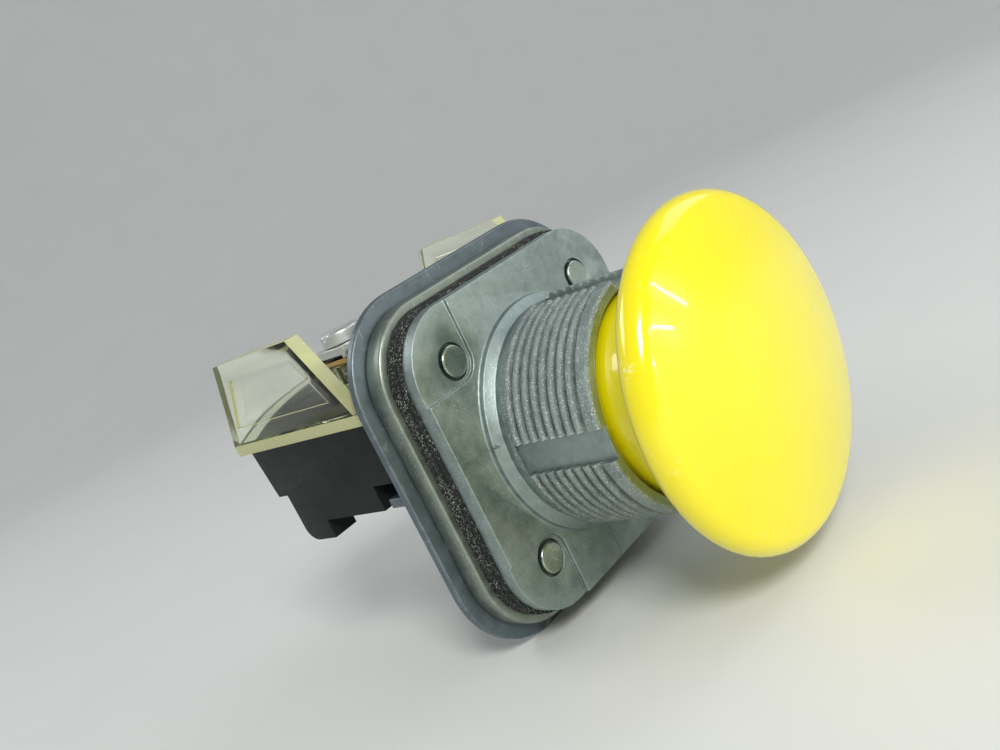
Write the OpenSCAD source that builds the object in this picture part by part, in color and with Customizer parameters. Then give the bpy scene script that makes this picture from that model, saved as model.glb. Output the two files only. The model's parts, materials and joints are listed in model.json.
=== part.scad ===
// Heavy-duty 30 mm mushroom-head push-button operator with one contact block.
// Frame: origin on the bushing's axis at the flange's front face. -Y points out of the
// panel towards the hand, +Y to the contact block, +Z up, +X to the right. Millimetres.

/* [Mushroom head] */
// Diameter of the mushroom head
head_d = 42; // [38:0.5:46]
// From the bushing's front face to the widest ring of the head
head_reach = 10.3; // [9.5:0.1:14]
// Radius of the rounded rim
rim_r = 2.4; // [1.5:0.1:3]
// Radius of curvature of the shallow dome
dome_r = 70; // [50:1:120]
// Wall of the head's skirt
skirt_wall = 1.8; // [1.4:0.1:2.2]
// How far the head can be pressed
travel = 4; // [3:0.25:4.5]

/* [Threaded bushing] */
// Outside diameter of the panel thread
thread_d = 30.2; // [29:0.1:32]
// Distance between thread crests
thread_pitch = 1.41; // [1.2:0.01:1.6]
// Number of thread grooves
thread_turns = 8; // [6:1:10]
// Depth of the thread grooves
thread_depth = 0.65; // [0.4:0.05:0.8]
// Unthreaded relief between the flange and the first crest
thread_start = 3.5; // [3:0.1:5]
// Plain lip in front of the last groove
lip_len = 2.2; // [1.5:0.1:3]
// From the thread's outside to the bore
bush_wall = 1.9; // [1.7:0.1:2.2]
// Width of the four keyways
key_w = 4.1; // [3:0.1:5]
// Depth of the keyways below the crests
key_depth = 1.0; // [0.7:0.1:1.1]
// Bevel of the lip's edges
lip_bevel = 0.5; // [0.3:0.1:0.6]

/* [Flange and housing] */
// Side of the square front casting
flange_w = 41.6; // [40:0.2:46]
// Thickness of the front casting's flange
flange_t = 2.4; // [2.2:0.1:3]
// Thickness of the gasket between the castings
gasket_t = 2.2; // [1.6:0.1:2.6]
// Thickness of the rear casting
housing_t = 2.8; // [2.6:0.1:4]
// Thickness of the back plate
plate_t = 1.2; // [1:0.1:1.6]
// How far the gasket stands out past the front casting, each side
gasket_step = 0.45; // [0.2:0.05:0.8]
// How far the rear casting stands out past the front casting, each side
housing_step = 1.5; // [1:0.1:2]
// How far the back plate stands out past the front casting, each side
plate_step = 3.4; // [2.5:0.1:4.5]
// Corner radius of the front casting
flange_corner = 8.5; // [7.5:0.1:9.5]

/* [Rivets] */
// Distance between rivets along a side
rivet_pitch = 27.6; // [27:0.1:29]
// Diameter of a rivet's head
rivet_head_d = 4; // [3.4:0.1:4.2]
// Diameter of a rivet's shank
rivet_d = 2.5; // [2:0.1:2.8]
// Depth of the sunken pad at each corner
pad_depth = 0.5; // [0.3:0.05:0.7]

/* [Stem] */
// Diameter of the plunger stem
stem_d = 12; // [10:0.5:13]
// Diameter of the stem's threaded nose
nose_d = 5.8; // [4.5:0.1:6]
// Diameter of the actuator disc
disc_d = 21; // [19:0.5:23]
// Thickness of the actuator disc
disc_t = 1.8; // [1.7:0.1:2]
// Wire of the head's return spring
return_wire = 1.1; // [0.8:0.1:1.2]

/* [Contact block] */
// Length of the block from side to side
block_w = 45.6; // [44:0.2:52]
// Depth of the block behind the back plate
block_d = 26.7; // [26:0.1:30]
// Height of the moulded base
block_h = 11.5; // [11:0.1:13]
// Height of the base's foot below it
foot_h = 2.7; // [1.5:0.1:4]
// Distance between the block's mounting screws
block_screw_pitch = 34; // [33:0.2:36]
// Diameter of the block's mounting screws
block_screw_d = 3.2; // [3:0.1:3.6]
// Distance between terminals from side to side
terminal_pitch = 16; // [15:0.2:18]
// Diameter of a terminal screw
terminal_screw_d = 3.2; // [2.8:0.1:3.4]
// Diameter of a terminal screw's head
terminal_head_d = 6; // [5:0.1:6.4]

/* [Terminal cover] */
// Thickness of the cover's floor
cover_t = 1.5; // [1.2:0.1:2]
// Thickness of each end barrier
fin_t = 2.2; // [1.8:0.1:3]
// Height of each end barrier above the floor
fin_h = 11.4; // [9:0.1:14]
// How far the floor reaches back past the base
cover_over = 3.1; // [1:0.1:4]

/* [Hidden] */
$fn = 96;
eps = 0.01;
// how far a cut runs past the face it opens
over = 1;
run_fit = 0.05;
gap = 0.3;
slip = 0.1;

// bushing
thread_r = thread_d / 2;
root_r = thread_r - thread_depth;
relief_step = 0.15;
relief_r = root_r - relief_step;
collar_step = 0.55;
collar_r = thread_r + collar_step;
collar_t = 0.9;
collar_slope = 0.5;
bore_r = thread_r - bush_wall;
bush_front = -(thread_start + thread_turns * thread_pitch + lip_len);
crest_w = 0.3;
flank_w = (thread_pitch - crest_w) * 0.42;

// stack of flat pieces
gasket_y = flange_t;
housing_y = gasket_y + gasket_t;
plate_y = housing_y + housing_t;
block_y = plate_y + plate_t;
disc_clearance = 1.8;
cavity_r = disc_d / 2 + disc_clearance;
gasket_hole_r = cavity_r + gap;

// stem, guide and head
stem_r = stem_d / 2;
nose_r = nose_d / 2;
disc_r = disc_d / 2;
disc_y1 = block_y - travel - slip * 2;
disc_y0 = disc_y1 - disc_t;
guide_y1 = disc_y0 - slip;
guide_y0 = -7.5;
guide_wall = 2.2;
web_t = 4.5;
seal_w = 1.5;
seal_r = stem_r + seal_w;
seal_lip = 1.6;
seal_y = guide_y0 + seal_lip;
under_a = 53;
skirt_r = bore_r - gap;
skirt_in_r = skirt_r - skirt_wall;
skirt_end = guide_y0 - travel - 2 * gap;
flare_y = bush_front - travel - 3 * gap;
rim_y = bush_front - head_reach;
head_r = head_d / 2;
dome_a = acos((head_r - rim_r) / (dome_r - rim_r));
dome_y = rim_y + (dome_r - rim_r) * sin(dome_a);
head_front = dome_y - dome_r;
head_wall = 3.2;
// the hollow widens from the skirt towards the dome
hollow_y = flare_y - 1.5;
hollow_step = 3;
hollow_lean = 0.5;
washer_t = 0.8;
// length of the return spring with the head pressed home
spring_solid = 6.5;
washer_y = guide_y0 - travel - spring_solid;
washer_slack = 0.8;
washer_r = skirt_in_r - washer_slack;
hub_wall = 3.4;
hub_r = nose_r + hub_wall;
hub_y = washer_y - washer_t;
insert_wall = 1.4;
insert_len = 6.5;
nose_len = insert_len - 1;
skirt_seal_w = 1.4;
skirt_seal_lip = 0.8;
skirt_seal_y = skirt_end - skirt_seal_lip;
skirt_seal_depth = 1;

// disc screw, countersunk flush in the disc
disc_screw_r = 1.4;
disc_screw_head_r = 2.8;
disc_screw_len = 7;
disc_slot_t = 0.7;
disc_screw_cone = disc_screw_head_r - disc_screw_r;

// rivets
rivet_at = rivet_pitch / 2;
rivet_head_r = rivet_head_d / 2;
ring_gap = 0.35;
rivet_ring_r = rivet_head_r + ring_gap;
rivet_head_t = 1;
rivet_head_y = 0.1;
rivet_shank_r = rivet_d / 2;
rivet_tail_t = 0.8;
rivet_tail_lip = 0.9;
rivet_tail_r = rivet_shank_r + rivet_tail_lip;
pad_land = 0.5;
pad_r = rivet_ring_r + pad_land;

// contact block
block_y1 = block_y + block_d;
block_z = block_h / 2;
block_wall = 1.6;
step_in = 2;
rear_draft = 0.8;
rear_wall = 1.5;
chamber_y1 = block_y1 - rear_draft - step_in - rear_wall;
// room beside the terminals' strips
chamber_side = 4.8;
chamber_w = terminal_pitch + 2 * chamber_side;
front_wall = 3.4;
chamber_y0 = block_y + front_wall;
screw_at = block_screw_pitch / 2;
block_screw_r = block_screw_d / 2;
screw_slack = 0.2;
step_h = 4.5;
block_screw_head_r = 2.9;
block_screw_head_t = 2.2;
counterbore_t = 3;
counterbore_y = block_y1 - rear_draft - counterbore_t;
washer_out_r = 3;
block_washer_t = 0.6;
block_screw_seat = counterbore_y + block_washer_t;
screw_z = step_h + washer_out_r + screw_slack;
foot_t = 4;
foot_len = 5.7;
foot_r = 2;
notch_len = 5.6;
notch_h = 3.5;
notch_w = 4;
tab_len = 4.1;
tab_w = 3;
tab_h = 1.3;

// carriage and its windows
carriage_w = 7;
carriage_h = 6.4;
carriage_y0 = chamber_y0 + 2 * gap;
carriage_y1 = chamber_y1 - travel - gap;
button_r = 2.4;
window_h = 3.8;
strip_t = 0.6;
tip_t = 0.4;
tip_r = 1.2;
nc_strip_lead = 1.3;
nc_fixed_y = carriage_y0 + nc_strip_lead;
nc_tip_y = nc_fixed_y + strip_t;
nc_bridge_y = nc_tip_y + tip_t;
nc_share = 0.675;
nc_stroke = nc_share * travel;
nc_window_y0 = nc_bridge_y - (travel - nc_stroke) - slip;
nc_spring_len = 2.6;
nc_window_y1 = nc_bridge_y + strip_t + nc_spring_len;
window_bar = 0.8;
no_window_y0 = nc_window_y1 + window_bar;
end_bar = 1.6;
no_window_y1 = carriage_y1 - end_bar;
no_bridge_y = no_window_y1 - slip - strip_t;
no_share = 0.5;
no_stroke = no_share * travel;
no_tip_y = no_bridge_y + strip_t + tip_t + no_stroke;
no_fixed_y = no_tip_y + tip_t;
bridge_end = 2;
bridge_len = terminal_pitch + 2 * bridge_end;
bridge_h = 3;
bridge_spring_r = 1.35;
bridge_spring_wire = 0.35;
return_pocket_r = 1.9;
return_pocket_t = 0.9;
base_pocket_t = 0.7;
block_spring_r = 1.45;
block_spring_wire = 0.35;

// terminals
terminal_x = terminal_pitch / 2;
pedestal_w = 7.6;
pedestal_h = 4;
terminal_r = terminal_screw_d / 2;
// between a strip and the screw that clamps its pad
nc_screw_lead = 0.6;
no_screw_lead = 1.5;
pedestal_nc_y = nc_fixed_y + strip_t + terminal_r + nc_screw_lead;
pedestal_no_y = no_fixed_y - terminal_r - no_screw_lead;
strip_w = 5;
strip_slot = 0.2;
strip_below = 0.5;
floor_z = block_h + cover_t;
pad_z = floor_z + pedestal_h;
pad_t = 0.8;
pad_w = 6.6;
saddle_w = 7.2;
saddle_t = 1.1;
wire_gap = 0.6;
saddle_z = pad_z + pad_t + wire_gap;
saddle_lip = 0.5;
saddle_lip_t = 1;
terminal_head_r = terminal_head_d / 2;
terminal_head_t = 1.9;
terminal_head_z = saddle_z + saddle_t + slip;
terminal_deep = 3;
slot_w = 0.9;
slot_deep = 0.9;

// clear cover
cover_gap = 1;
cover_y0 = block_y + cover_gap;
cover_y1 = block_y1 + cover_over;
fin_lead = 1.4;
fin_base_y0 = cover_y0 + fin_lead;
fin_lean_front = 6.8;
fin_lean_rear = 4.8;
fin_top_y0 = cover_y0 + fin_lean_front;
fin_top_y1 = cover_y1 - fin_lean_rear;
fin_pocket = 0.5;
fin_frame = 2.4;
// shares of the frame's width by which the pocket's corners move in, foot then top
fin_foot_in = [1.4, 1.2];
fin_top_in = [0.5, 0.8];
peg_r = 1.2;
peg_wall = 1.9;
peg_x = chamber_w / 2 + peg_wall;
peg_z_gap = 0.2;
// the pegs stop above the block screws' holes
peg_len = block_h - peg_z_gap - (screw_z + block_screw_r + screw_slack) - peg_z_gap;

// ---------- shared shapes ----------

// an (x, z) outline pulled from y to y + len
module slab_y(y, len) translate([0, y + len, 0]) rotate([90, 0, 0]) linear_extrude(len) children();

// a (y, z) outline pulled from x to x + len
module slab_x(x, len) translate([x, 0, 0]) rotate([90, 0, 90]) linear_extrude(len) children();

// a (radius, y) outline turned round the Y axis
module turn_y() rotate([-90, 0, 0]) rotate_extrude() children();

module rod_y(r, y0, y1, x = 0, z = 0)
    translate([x, y0, z]) rotate([-90, 0, 0]) cylinder(r = r, h = y1 - y0);

module tube_y(r_out, r_in, y0, y1, x = 0, z = 0)
    difference() {
        rod_y(r_out, y0, y1, x, z);
        rod_y(r_in, y0 - eps, y1 + eps, x, z);
    }

module rod_z(r, z0, z1, x = 0, y = 0) translate([x, y, z0]) cylinder(r = r, h = z1 - z0);

module rounded_square(half, r) {
    square([2 * half, 2 * (half - r)], center = true);
    square([2 * (half - r), 2 * half], center = true);
    for (sx = [-1, 1], sz = [-1, 1])
        translate([sx * (half - r), sz * (half - r)]) circle(r = r);
}

module box(x0, x1, y0, y1, z0, z1) translate([x0, y0, z0]) cube([x1 - x0, y1 - y0, z1 - z0]);

module at_rivets() for (sx = [-1, 1], sz = [-1, 1]) translate([sx * rivet_at, sz * rivet_at]) children();

// 2D holes shared by the flat pieces of the stack
module rivet_holes(r) at_rivets() circle(r = r);
module screw_holes(r)
    for (sx = [-1, 1], sz = [-1, 1]) translate([sx * screw_at, sz * screw_z]) circle(r = r);

// a helical spring along Y with closed round wire, swept as a ring of sides
module spring_y(r, wire, y0, y1, turns, x = 0, z = 0, steps = 16, sides = 8) {
    len = y1 - y0 - wire;
    n = turns * steps;
    ring = function(i) [
        for (k = [0:sides - 1])
            let (
                a = 360 * i / steps,
                b = 360 * k / sides,
                q = r + wire / 2 * cos(b)
            )
            [x + q * cos(a), y0 + wire / 2 + len * i / n + wire / 2 * sin(b), z + q * sin(a)]
    ];
    points = [for (i = [0:n]) each ring(i)];
    walls = [
        for (i = [0:n - 1], k = [0:sides - 1])
            [
                i * sides + k, i * sides + (k + 1) % sides,
                (i + 1) * sides + (k + 1) % sides, (i + 1) * sides + k
            ]
    ];
    first = [for (k = [0:sides - 1]) sides - 1 - k];
    last = [for (k = [0:sides - 1]) n * sides + k];
    polyhedron(points, concat(walls, [first, last]));
}

// ---------- moving operator ----------

// outline of the head: hollow flare under it, rounded rim and shallow dome
function flare_points(n = 8) = [
    for (i = [1:n - 1])
        let (t = 90 * i / n)
        [
            skirt_r + (head_r - rim_r * (1 - cos(under_a)) - skirt_r) * (1 - cos(t)),
            flare_y + (rim_y + rim_r * sin(under_a) - flare_y) * sin(t)
        ]
];
function rim_points(n = 12) = [
    for (i = [0:n])
        let (a = -under_a + (under_a + dome_a) * i / n)
        [head_r - rim_r + rim_r * cos(a), rim_y - rim_r * sin(a)]
];
function dome_points(n = 8) = [
    for (i = [1:n])
        let (a = dome_a + (90 - dome_a) * i / n)
        [i == n ? 0 : dome_r * cos(a), dome_y - dome_r * sin(a)]
];

module mushroom_head() color("gold")
    difference() {
        turn_y() polygon(concat(
            [[0, skirt_end], [skirt_r, skirt_end], [skirt_r, flare_y]],
            flare_points(), rim_points(), dome_points()
        ));
        // hollow round the hub
        turn_y() polygon([
            [hub_r, skirt_end + eps], [skirt_in_r, skirt_end + eps],
            [skirt_in_r, hollow_y], [skirt_in_r + hollow_step, rim_y + over],
            [skirt_in_r + hollow_step - hollow_lean, head_front + head_wall], [hub_r,
                head_front + head_wall]
        ]);
        // the hub stops short of the skirt's end
        rod_y(hub_r + eps, hub_y, skirt_end + over);
        // seat of the threaded insert
        rod_y(nose_r + insert_wall, hub_y - insert_len, hub_y + over);
        // groove of the skirt seal
        tube_y(skirt_r + over, skirt_r - skirt_seal_depth, skirt_seal_y - skirt_seal_w, skirt_seal_y);
    }

module head_insert() color("goldenrod")
    tube_y(nose_r + insert_wall, nose_r, hub_y - insert_len, hub_y);

module skirt_seal() color("black")
    tube_y(bore_r - run_fit, skirt_r - skirt_seal_depth, skirt_seal_y - skirt_seal_w, skirt_seal_y);

module spring_washer() color("silver")
    tube_y(washer_r, nose_r, hub_y, washer_y);

module return_spring() color("silver")
    spring_y((stem_r + washer_r) / 2, return_wire, washer_y, guide_y0, 4.5);

module plunger_stem() color("whitesmoke")
    difference() {
        union() {
            rod_y(stem_r, washer_y, disc_y0);
            rod_y(nose_r, hub_y - nose_len, washer_y);
        }
        rod_y(disc_screw_r, disc_y1 - disc_screw_len, disc_y0 + over);
    }

module stem_seal() color("black")
    tube_y(seal_r, stem_r + run_fit / 2, seal_y, seal_y + seal_w);

module actuator_disc() color("whitesmoke")
    difference() {
        rod_y(disc_r, disc_y0, disc_y1);
        rod_y(disc_screw_r, disc_y0 - over, disc_y1 + over);
        disc_screw_head();
    }

module disc_screw_head()
    translate([0, disc_y1 - disc_screw_cone, 0]) rotate([-90, 0, 0])
        cylinder(r1 = disc_screw_r, r2 = disc_screw_head_r, h = disc_screw_cone);

module disc_screw() color("silver")
    difference() {
        union() {
            rod_y(disc_screw_r, disc_y1 - disc_screw_len, disc_y1 - disc_screw_cone + eps);
            disc_screw_head();
        }
        box(-disc_screw_head_r, disc_screw_head_r, disc_y1 - disc_slot_t, disc_y1 + over,
            -slot_w / 2, slot_w / 2);
    }

// ---------- fixed operator ----------

// thread crests, front to back, as (radius, y) points
function thread_points() = [
    for (i = [0:thread_turns - 1])
        let (y = -(thread_start + i * thread_pitch))
        each [
            [root_r, y + flank_w * 0.5], [thread_r, y - flank_w * 0.5],
            [thread_r, y - flank_w * 0.5 - crest_w], [root_r, y - flank_w * 1.5 - crest_w]
        ]
];
lip_y = -(thread_start + thread_turns * thread_pitch);

module bushing_casting() color("darkgray")
    difference() {
        union() {
            slab_y(0, flange_t) rounded_square(flange_w / 2, flange_corner);
            turn_y() polygon(concat(
                [[0, eps], [collar_r, eps], [collar_r, -collar_t], [relief_r, -collar_t - collar_slope]],
                [[relief_r, -thread_start + flank_w]],
                thread_points(),
                [[thread_r, lip_y - flank_w], [thread_r, bush_front + lip_bevel]],
                [[thread_r - lip_bevel, bush_front], [0, bush_front]]
            ));
        }
        // bore for the head's skirt, with a bevelled mouth
        turn_y() polygon([
            [0, guide_y0], [bore_r, guide_y0], [bore_r, bush_front + lip_bevel],
            [bore_r + lip_bevel, bush_front - eps], [0, bush_front - eps]
        ]);
        // cavity behind the web, round the guide sleeve
        difference() {
            rod_y(cavity_r, guide_y0 + web_t, flange_t + over);
            rod_y(stem_r + guide_wall, guide_y0, guide_y1);
        }
        rod_y(stem_r + run_fit, guide_y0 - over, guide_y1 + over);
        rod_y(seal_r, seal_y, seal_y + seal_w);
        // keyways
        for (a = [0:90:270]) rotate([0, a, 0])
            box(thread_r - key_depth, thread_r + over, bush_front - over,
                -thread_start + flank_w, -key_w / 2, key_w / 2);
        // sunken corner pads, rivet rings and shank holes
        slab_y(-over, over + pad_depth) corner_pads();
        slab_y(-over, over + rivet_head_y + rivet_head_t) rivet_holes(rivet_ring_r);
        slab_y(-over, flange_t + 2 * over) rivet_holes(rivet_shank_r);
    }

// corner areas that reach from each rivet out to the flange's two edges
module corner_pads() {
    out = flange_w;
    for (sx = [0, 1], sz = [0, 1]) mirror([sx, 0]) mirror([0, sz])
        translate([rivet_at, rivet_at]) {
            circle(r = pad_r);
            translate([-pad_r, 0]) square([out, out]);
            translate([0, -pad_r]) square([out, out]);
        }
}

module gasket() color("dimgray")
    slab_y(gasket_y, gasket_t) difference() {
        rounded_square(flange_w / 2 + gasket_step, flange_corner + gasket_step);
        circle(r = gasket_hole_r);
        rivet_holes(rivet_shank_r);
    }

module rear_housing() color("gray")
    slab_y(housing_y, housing_t) difference() {
        rounded_square(flange_w / 2 + housing_step, flange_corner + housing_step);
        circle(r = cavity_r);
        rivet_holes(rivet_shank_r);
        screw_holes(block_screw_r);
    }

module back_plate() color("slategray") {
    slab_y(plate_y, plate_t) difference() {
        rounded_square(flange_w / 2 + plate_step, flange_corner + plate_step);
        circle(r = cavity_r);
        rivet_holes(rivet_shank_r);
        screw_holes(block_screw_r);
    }
    // two tabs that locate the block's notches
    for (sx = [0, 1]) mirror([sx, 0, 0])
        box(block_w / 2 - tab_w, block_w / 2, block_y - plate_t, block_y + tab_len, slip, slip + tab_h);
}

module rivets() color("silver")
    for (sx = [-1, 1], sz = [-1, 1]) {
        x = sx * rivet_at;
        z = sz * rivet_at;
        rod_y(rivet_head_r, rivet_head_y, rivet_head_y + rivet_head_t, x, z);
        rod_y(rivet_shank_r, rivet_head_y, block_y + rivet_tail_t, x, z);
        rod_y(rivet_tail_r, block_y, block_y + rivet_tail_t, x, z);
    }

// ---------- contact block ----------

// side outline of the moulded base
module base_outline()
    polygon([
        [block_y, 0], [block_y1 - step_in - rear_draft, 0],
        [block_y1 - step_in - rear_draft, step_h], [block_y1 - rear_draft, step_h],
        [block_y1, block_h], [block_y, block_h]
    ]);

module foot_outline() {
    y1 = block_y1 - step_in - rear_draft;
    difference() {
        translate([y1 - foot_len, -foot_h]) square([foot_len, foot_h + over]);
        translate([y1 - foot_r, -foot_h]) square([foot_r, foot_r]);
    }
    translate([y1 - foot_r, -foot_h + foot_r]) circle(r = foot_r);
}

module block_base() color([0.13, 0.14, 0.14])
    difference() {
        union() {
            slab_x(-block_w / 2, block_w) base_outline();
            for (sx = [0, 1]) mirror([sx, 0, 0])
                slab_x(block_w / 2 - foot_t, foot_t) foot_outline();
        }
        // contact chamber, open towards the cover
        box(-chamber_w / 2, chamber_w / 2, chamber_y0, chamber_y1, block_wall, block_h + over);
        // way in for the carriage's button
        rod_y(button_r + gap, block_y - over, chamber_y0 + over, 0, block_z);
        // seat of the return spring
        rod_y(return_pocket_r, chamber_y1 - over, chamber_y1 + base_pocket_t, 0, block_z);
        for (sx = [-1, 1]) {
            rod_y(block_screw_r + screw_slack, block_y - over, block_y1 + over, sx * screw_at, screw_z);
            rod_y(washer_out_r + screw_slack, counterbore_y, block_y1 + over, sx * screw_at, screw_z);
            rod_z(peg_r, block_h - peg_len - peg_z_gap, block_h + over, sx * peg_x,
                (chamber_y0 + chamber_y1) / 2);
        }
        // notches over the plate's tabs
        for (sx = [0, 1]) mirror([sx, 0, 0])
            box(block_w / 2 - notch_w, block_w / 2 + over, block_y - over, block_y + notch_len,
                -over, notch_h);
    }

module fin_outline(inset = 0)
    polygon([
        [fin_base_y0 + inset * fin_foot_in[0], floor_z + (inset > 0 ? inset : -eps)],
        [cover_y1 - inset * fin_foot_in[1], floor_z + (inset > 0 ? inset : -eps)],
        [fin_top_y1 - inset * fin_top_in[1], floor_z + fin_h - inset],
        [fin_top_y0 + inset * fin_top_in[0], floor_z + fin_h - inset]
    ]);

module at_terminals() {
    for (sx = [-1, 1]) translate([sx * terminal_x, pedestal_nc_y, 0]) children();
    for (sx = [-1, 1]) translate([sx * terminal_x, pedestal_no_y, 0]) children();
}

module terminal_cover() color([0.85, 0.9, 0.6, 0.4])
    difference() {
        union() {
            box(-block_w / 2, block_w / 2, cover_y0, cover_y1, block_h, floor_z);
            for (sx = [0, 1]) mirror([sx, 0, 0])
                slab_x(block_w / 2 - fin_t, fin_t) fin_outline();
            at_terminals() box(-pedestal_w / 2, pedestal_w / 2, -pedestal_w / 2, pedestal_w / 2,
                floor_z - eps, pad_z);
            for (sx = [-1, 1])
                rod_z(peg_r, block_h - peg_len, block_h + eps, sx * peg_x, (chamber_y0 + chamber_y1) / 2);
        }
        // shallow pocket in the outer side of each barrier
        for (sx = [0, 1]) mirror([sx, 0, 0])
            slab_x(block_w / 2 - fin_pocket, fin_pocket + over) fin_outline(fin_frame);
        at_terminals() rod_z(terminal_r + run_fit, pad_z - terminal_deep, pad_z + over);
        // ways up for the fixed contacts
        for (sx = [-1, 1]) {
            slot_box(sx * terminal_x, nc_fixed_y);
            slot_box(sx * terminal_x, no_fixed_y);
        }
    }

// slot that one fixed strip stands in
module slot_box(x, y)
    box(x - strip_w / 2 - strip_slot, x + strip_w / 2 + strip_slot, y - strip_slot,
        y + strip_t + strip_slot,
        block_h - over, pad_z + over);

module block_carriage() color("ivory")
    difference() {
        union() {
            box(-carriage_w / 2, carriage_w / 2, carriage_y0, carriage_y1,
                block_z - carriage_h / 2, block_z + carriage_h / 2);
            rod_y(button_r, disc_y1, carriage_y0 + over, 0, block_z);
        }
        for (w = [[nc_window_y0, nc_window_y1], [no_window_y0, no_window_y1]])
            box(-carriage_w, carriage_w, w[0], w[1], block_z - window_h / 2, block_z + window_h / 2);
        rod_y(return_pocket_r, carriage_y1 - return_pocket_t, carriage_y1 + over, 0, block_z);
    }

module carriage_spring() color("silver")
    spring_y(block_spring_r, block_spring_wire, carriage_y1 - return_pocket_t,
        chamber_y1 + base_pocket_t, 4, 0, block_z);

module spring_nc() color("silver")
    spring_y(bridge_spring_r, bridge_spring_wire, nc_bridge_y + strip_t, nc_window_y1, 4, 0, block_z);

module spring_no() color("silver")
    spring_y(bridge_spring_r, bridge_spring_wire, no_window_y0, no_bridge_y, 5, 0, block_z);

// a bridge strip with two round tips on one side
module bridge(y, tip_y)  {
    box(-bridge_len / 2, bridge_len / 2, y, y + strip_t, block_z - bridge_h / 2, block_z + bridge_h / 2);
    for (sx = [-1, 1]) rod_y(tip_r, tip_y, tip_y + tip_t + eps, sx * terminal_x, block_z);
}

module bridge_nc() color("peru") bridge(nc_bridge_y, nc_tip_y + eps);
module bridge_no() color("peru") bridge(no_bridge_y, no_bridge_y + strip_t - eps);

// upright strip with a contact tip, and the pad that its terminal screw clamps
module fixed_contact(x, y, pad_y0, pad_y1, bottom_tip_y)
    difference() {
        union() {
            box(x - strip_w / 2, x + strip_w / 2, y, y + strip_t, block_z - tip_r - strip_below,
                pad_z + pad_t);
            box(x - pad_w / 2, x + pad_w / 2, pad_y0, pad_y1, pad_z, pad_z + pad_t);
            if (bottom_tip_y != y) rod_y(tip_r, bottom_tip_y, y + eps, x, block_z);
        }
        rod_z(terminal_r + run_fit, pad_z - over, pad_z + pad_t + over, x, (pad_y0 + pad_y1) / 2);
    }

module fixed_contacts_nc() color("goldenrod")
    for (sx = [-1, 1])
        fixed_contact(sx * terminal_x, nc_fixed_y, pedestal_nc_y - pad_w / 2,
            pedestal_nc_y + pad_w / 2, nc_fixed_y);

module fixed_contacts_no() color("goldenrod")
    for (sx = [-1, 1])
        fixed_contact(sx * terminal_x, no_fixed_y, pedestal_no_y - pad_w / 2,
            pedestal_no_y + pad_w / 2, no_tip_y);

// square clamp with two turned-down lips
module saddle()
    difference() {
        union() {
            box(-saddle_w / 2, saddle_w / 2, -saddle_w / 2, saddle_w / 2, saddle_z, saddle_z + saddle_t);
            for (sy = [-1, 1])
                translate([0, sy * (saddle_w - saddle_lip_t) / 2, 0])
                    box(-saddle_w / 2, saddle_w / 2, -saddle_lip_t / 2, saddle_lip_t / 2,
                        saddle_z - saddle_lip, saddle_z + eps);
        }
        rod_z(terminal_r + gap, saddle_z - over, saddle_z + saddle_t + over);
    }

module terminal_saddles() color("silver") at_terminals() saddle();

module terminal_screw(x, y) color("silver")
    difference() {
        union() {
            rod_z(terminal_r, pad_z - terminal_deep + slip, terminal_head_z + eps, x, y);
            rod_z(terminal_head_r, terminal_head_z, terminal_head_z + terminal_head_t, x, y);
        }
        box(x - terminal_head_r - over, x + terminal_head_r + over, y - slot_w / 2, y + slot_w / 2,
            terminal_head_z + terminal_head_t - slot_deep, terminal_head_z + terminal_head_t + over);
    }

module terminal_screw_1() terminal_screw(-terminal_x, pedestal_nc_y);
module terminal_screw_2() terminal_screw(terminal_x, pedestal_nc_y);
module terminal_screw_3() terminal_screw(-terminal_x, pedestal_no_y);
module terminal_screw_4() terminal_screw(terminal_x, pedestal_no_y);

module block_screws() color("silver")
    for (sx = [-1, 1]) difference() {
        union() {
            rod_y(block_screw_r, housing_y + slip, block_screw_seat + eps, sx * screw_at, screw_z);
            rod_y(block_screw_head_r, block_screw_seat, block_screw_seat + block_screw_head_t,
                sx * screw_at, screw_z);
        }
        box(sx * screw_at - block_screw_head_r - over, sx * screw_at + block_screw_head_r + over,
            block_screw_seat + block_screw_head_t - slot_deep, block_screw_seat + block_screw_head_t + over,
            screw_z - slot_w / 2, screw_z + slot_w / 2);
    }

module block_screw_washers() color("silver")
    for (sx = [-1, 1])
        tube_y(washer_out_r, block_screw_r + slip, block_screw_seat - block_washer_t, block_screw_seat,
               sx * screw_at, screw_z);

mushroom_head();
head_insert();
skirt_seal();
spring_washer();
return_spring();
plunger_stem();
stem_seal();
actuator_disc();
disc_screw();
bushing_casting();
gasket();
rear_housing();
back_plate();
rivets();
block_base();
terminal_cover();
block_carriage();
carriage_spring();
bridge_nc();
bridge_no();
spring_nc();
spring_no();
fixed_contacts_nc();
fixed_contacts_no();
terminal_saddles();
terminal_screw_1();
terminal_screw_2();
terminal_screw_3();
terminal_screw_4();
block_screws();
block_screw_washers();
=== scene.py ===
"""Looks of a heavy-duty mushroom-head push-button operator with one contact block.

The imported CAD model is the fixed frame. Each class below builds one sub-assembly round it, in
metres, and dresses every piece in a procedural finish.
"""

import json
import logging
import math
from collections.abc import Iterator, Sequence
from contextlib import contextmanager
from dataclasses import dataclass, field
from enum import Enum
from typing import Any

import bpy
from mathutils import Matrix, Vector


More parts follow.
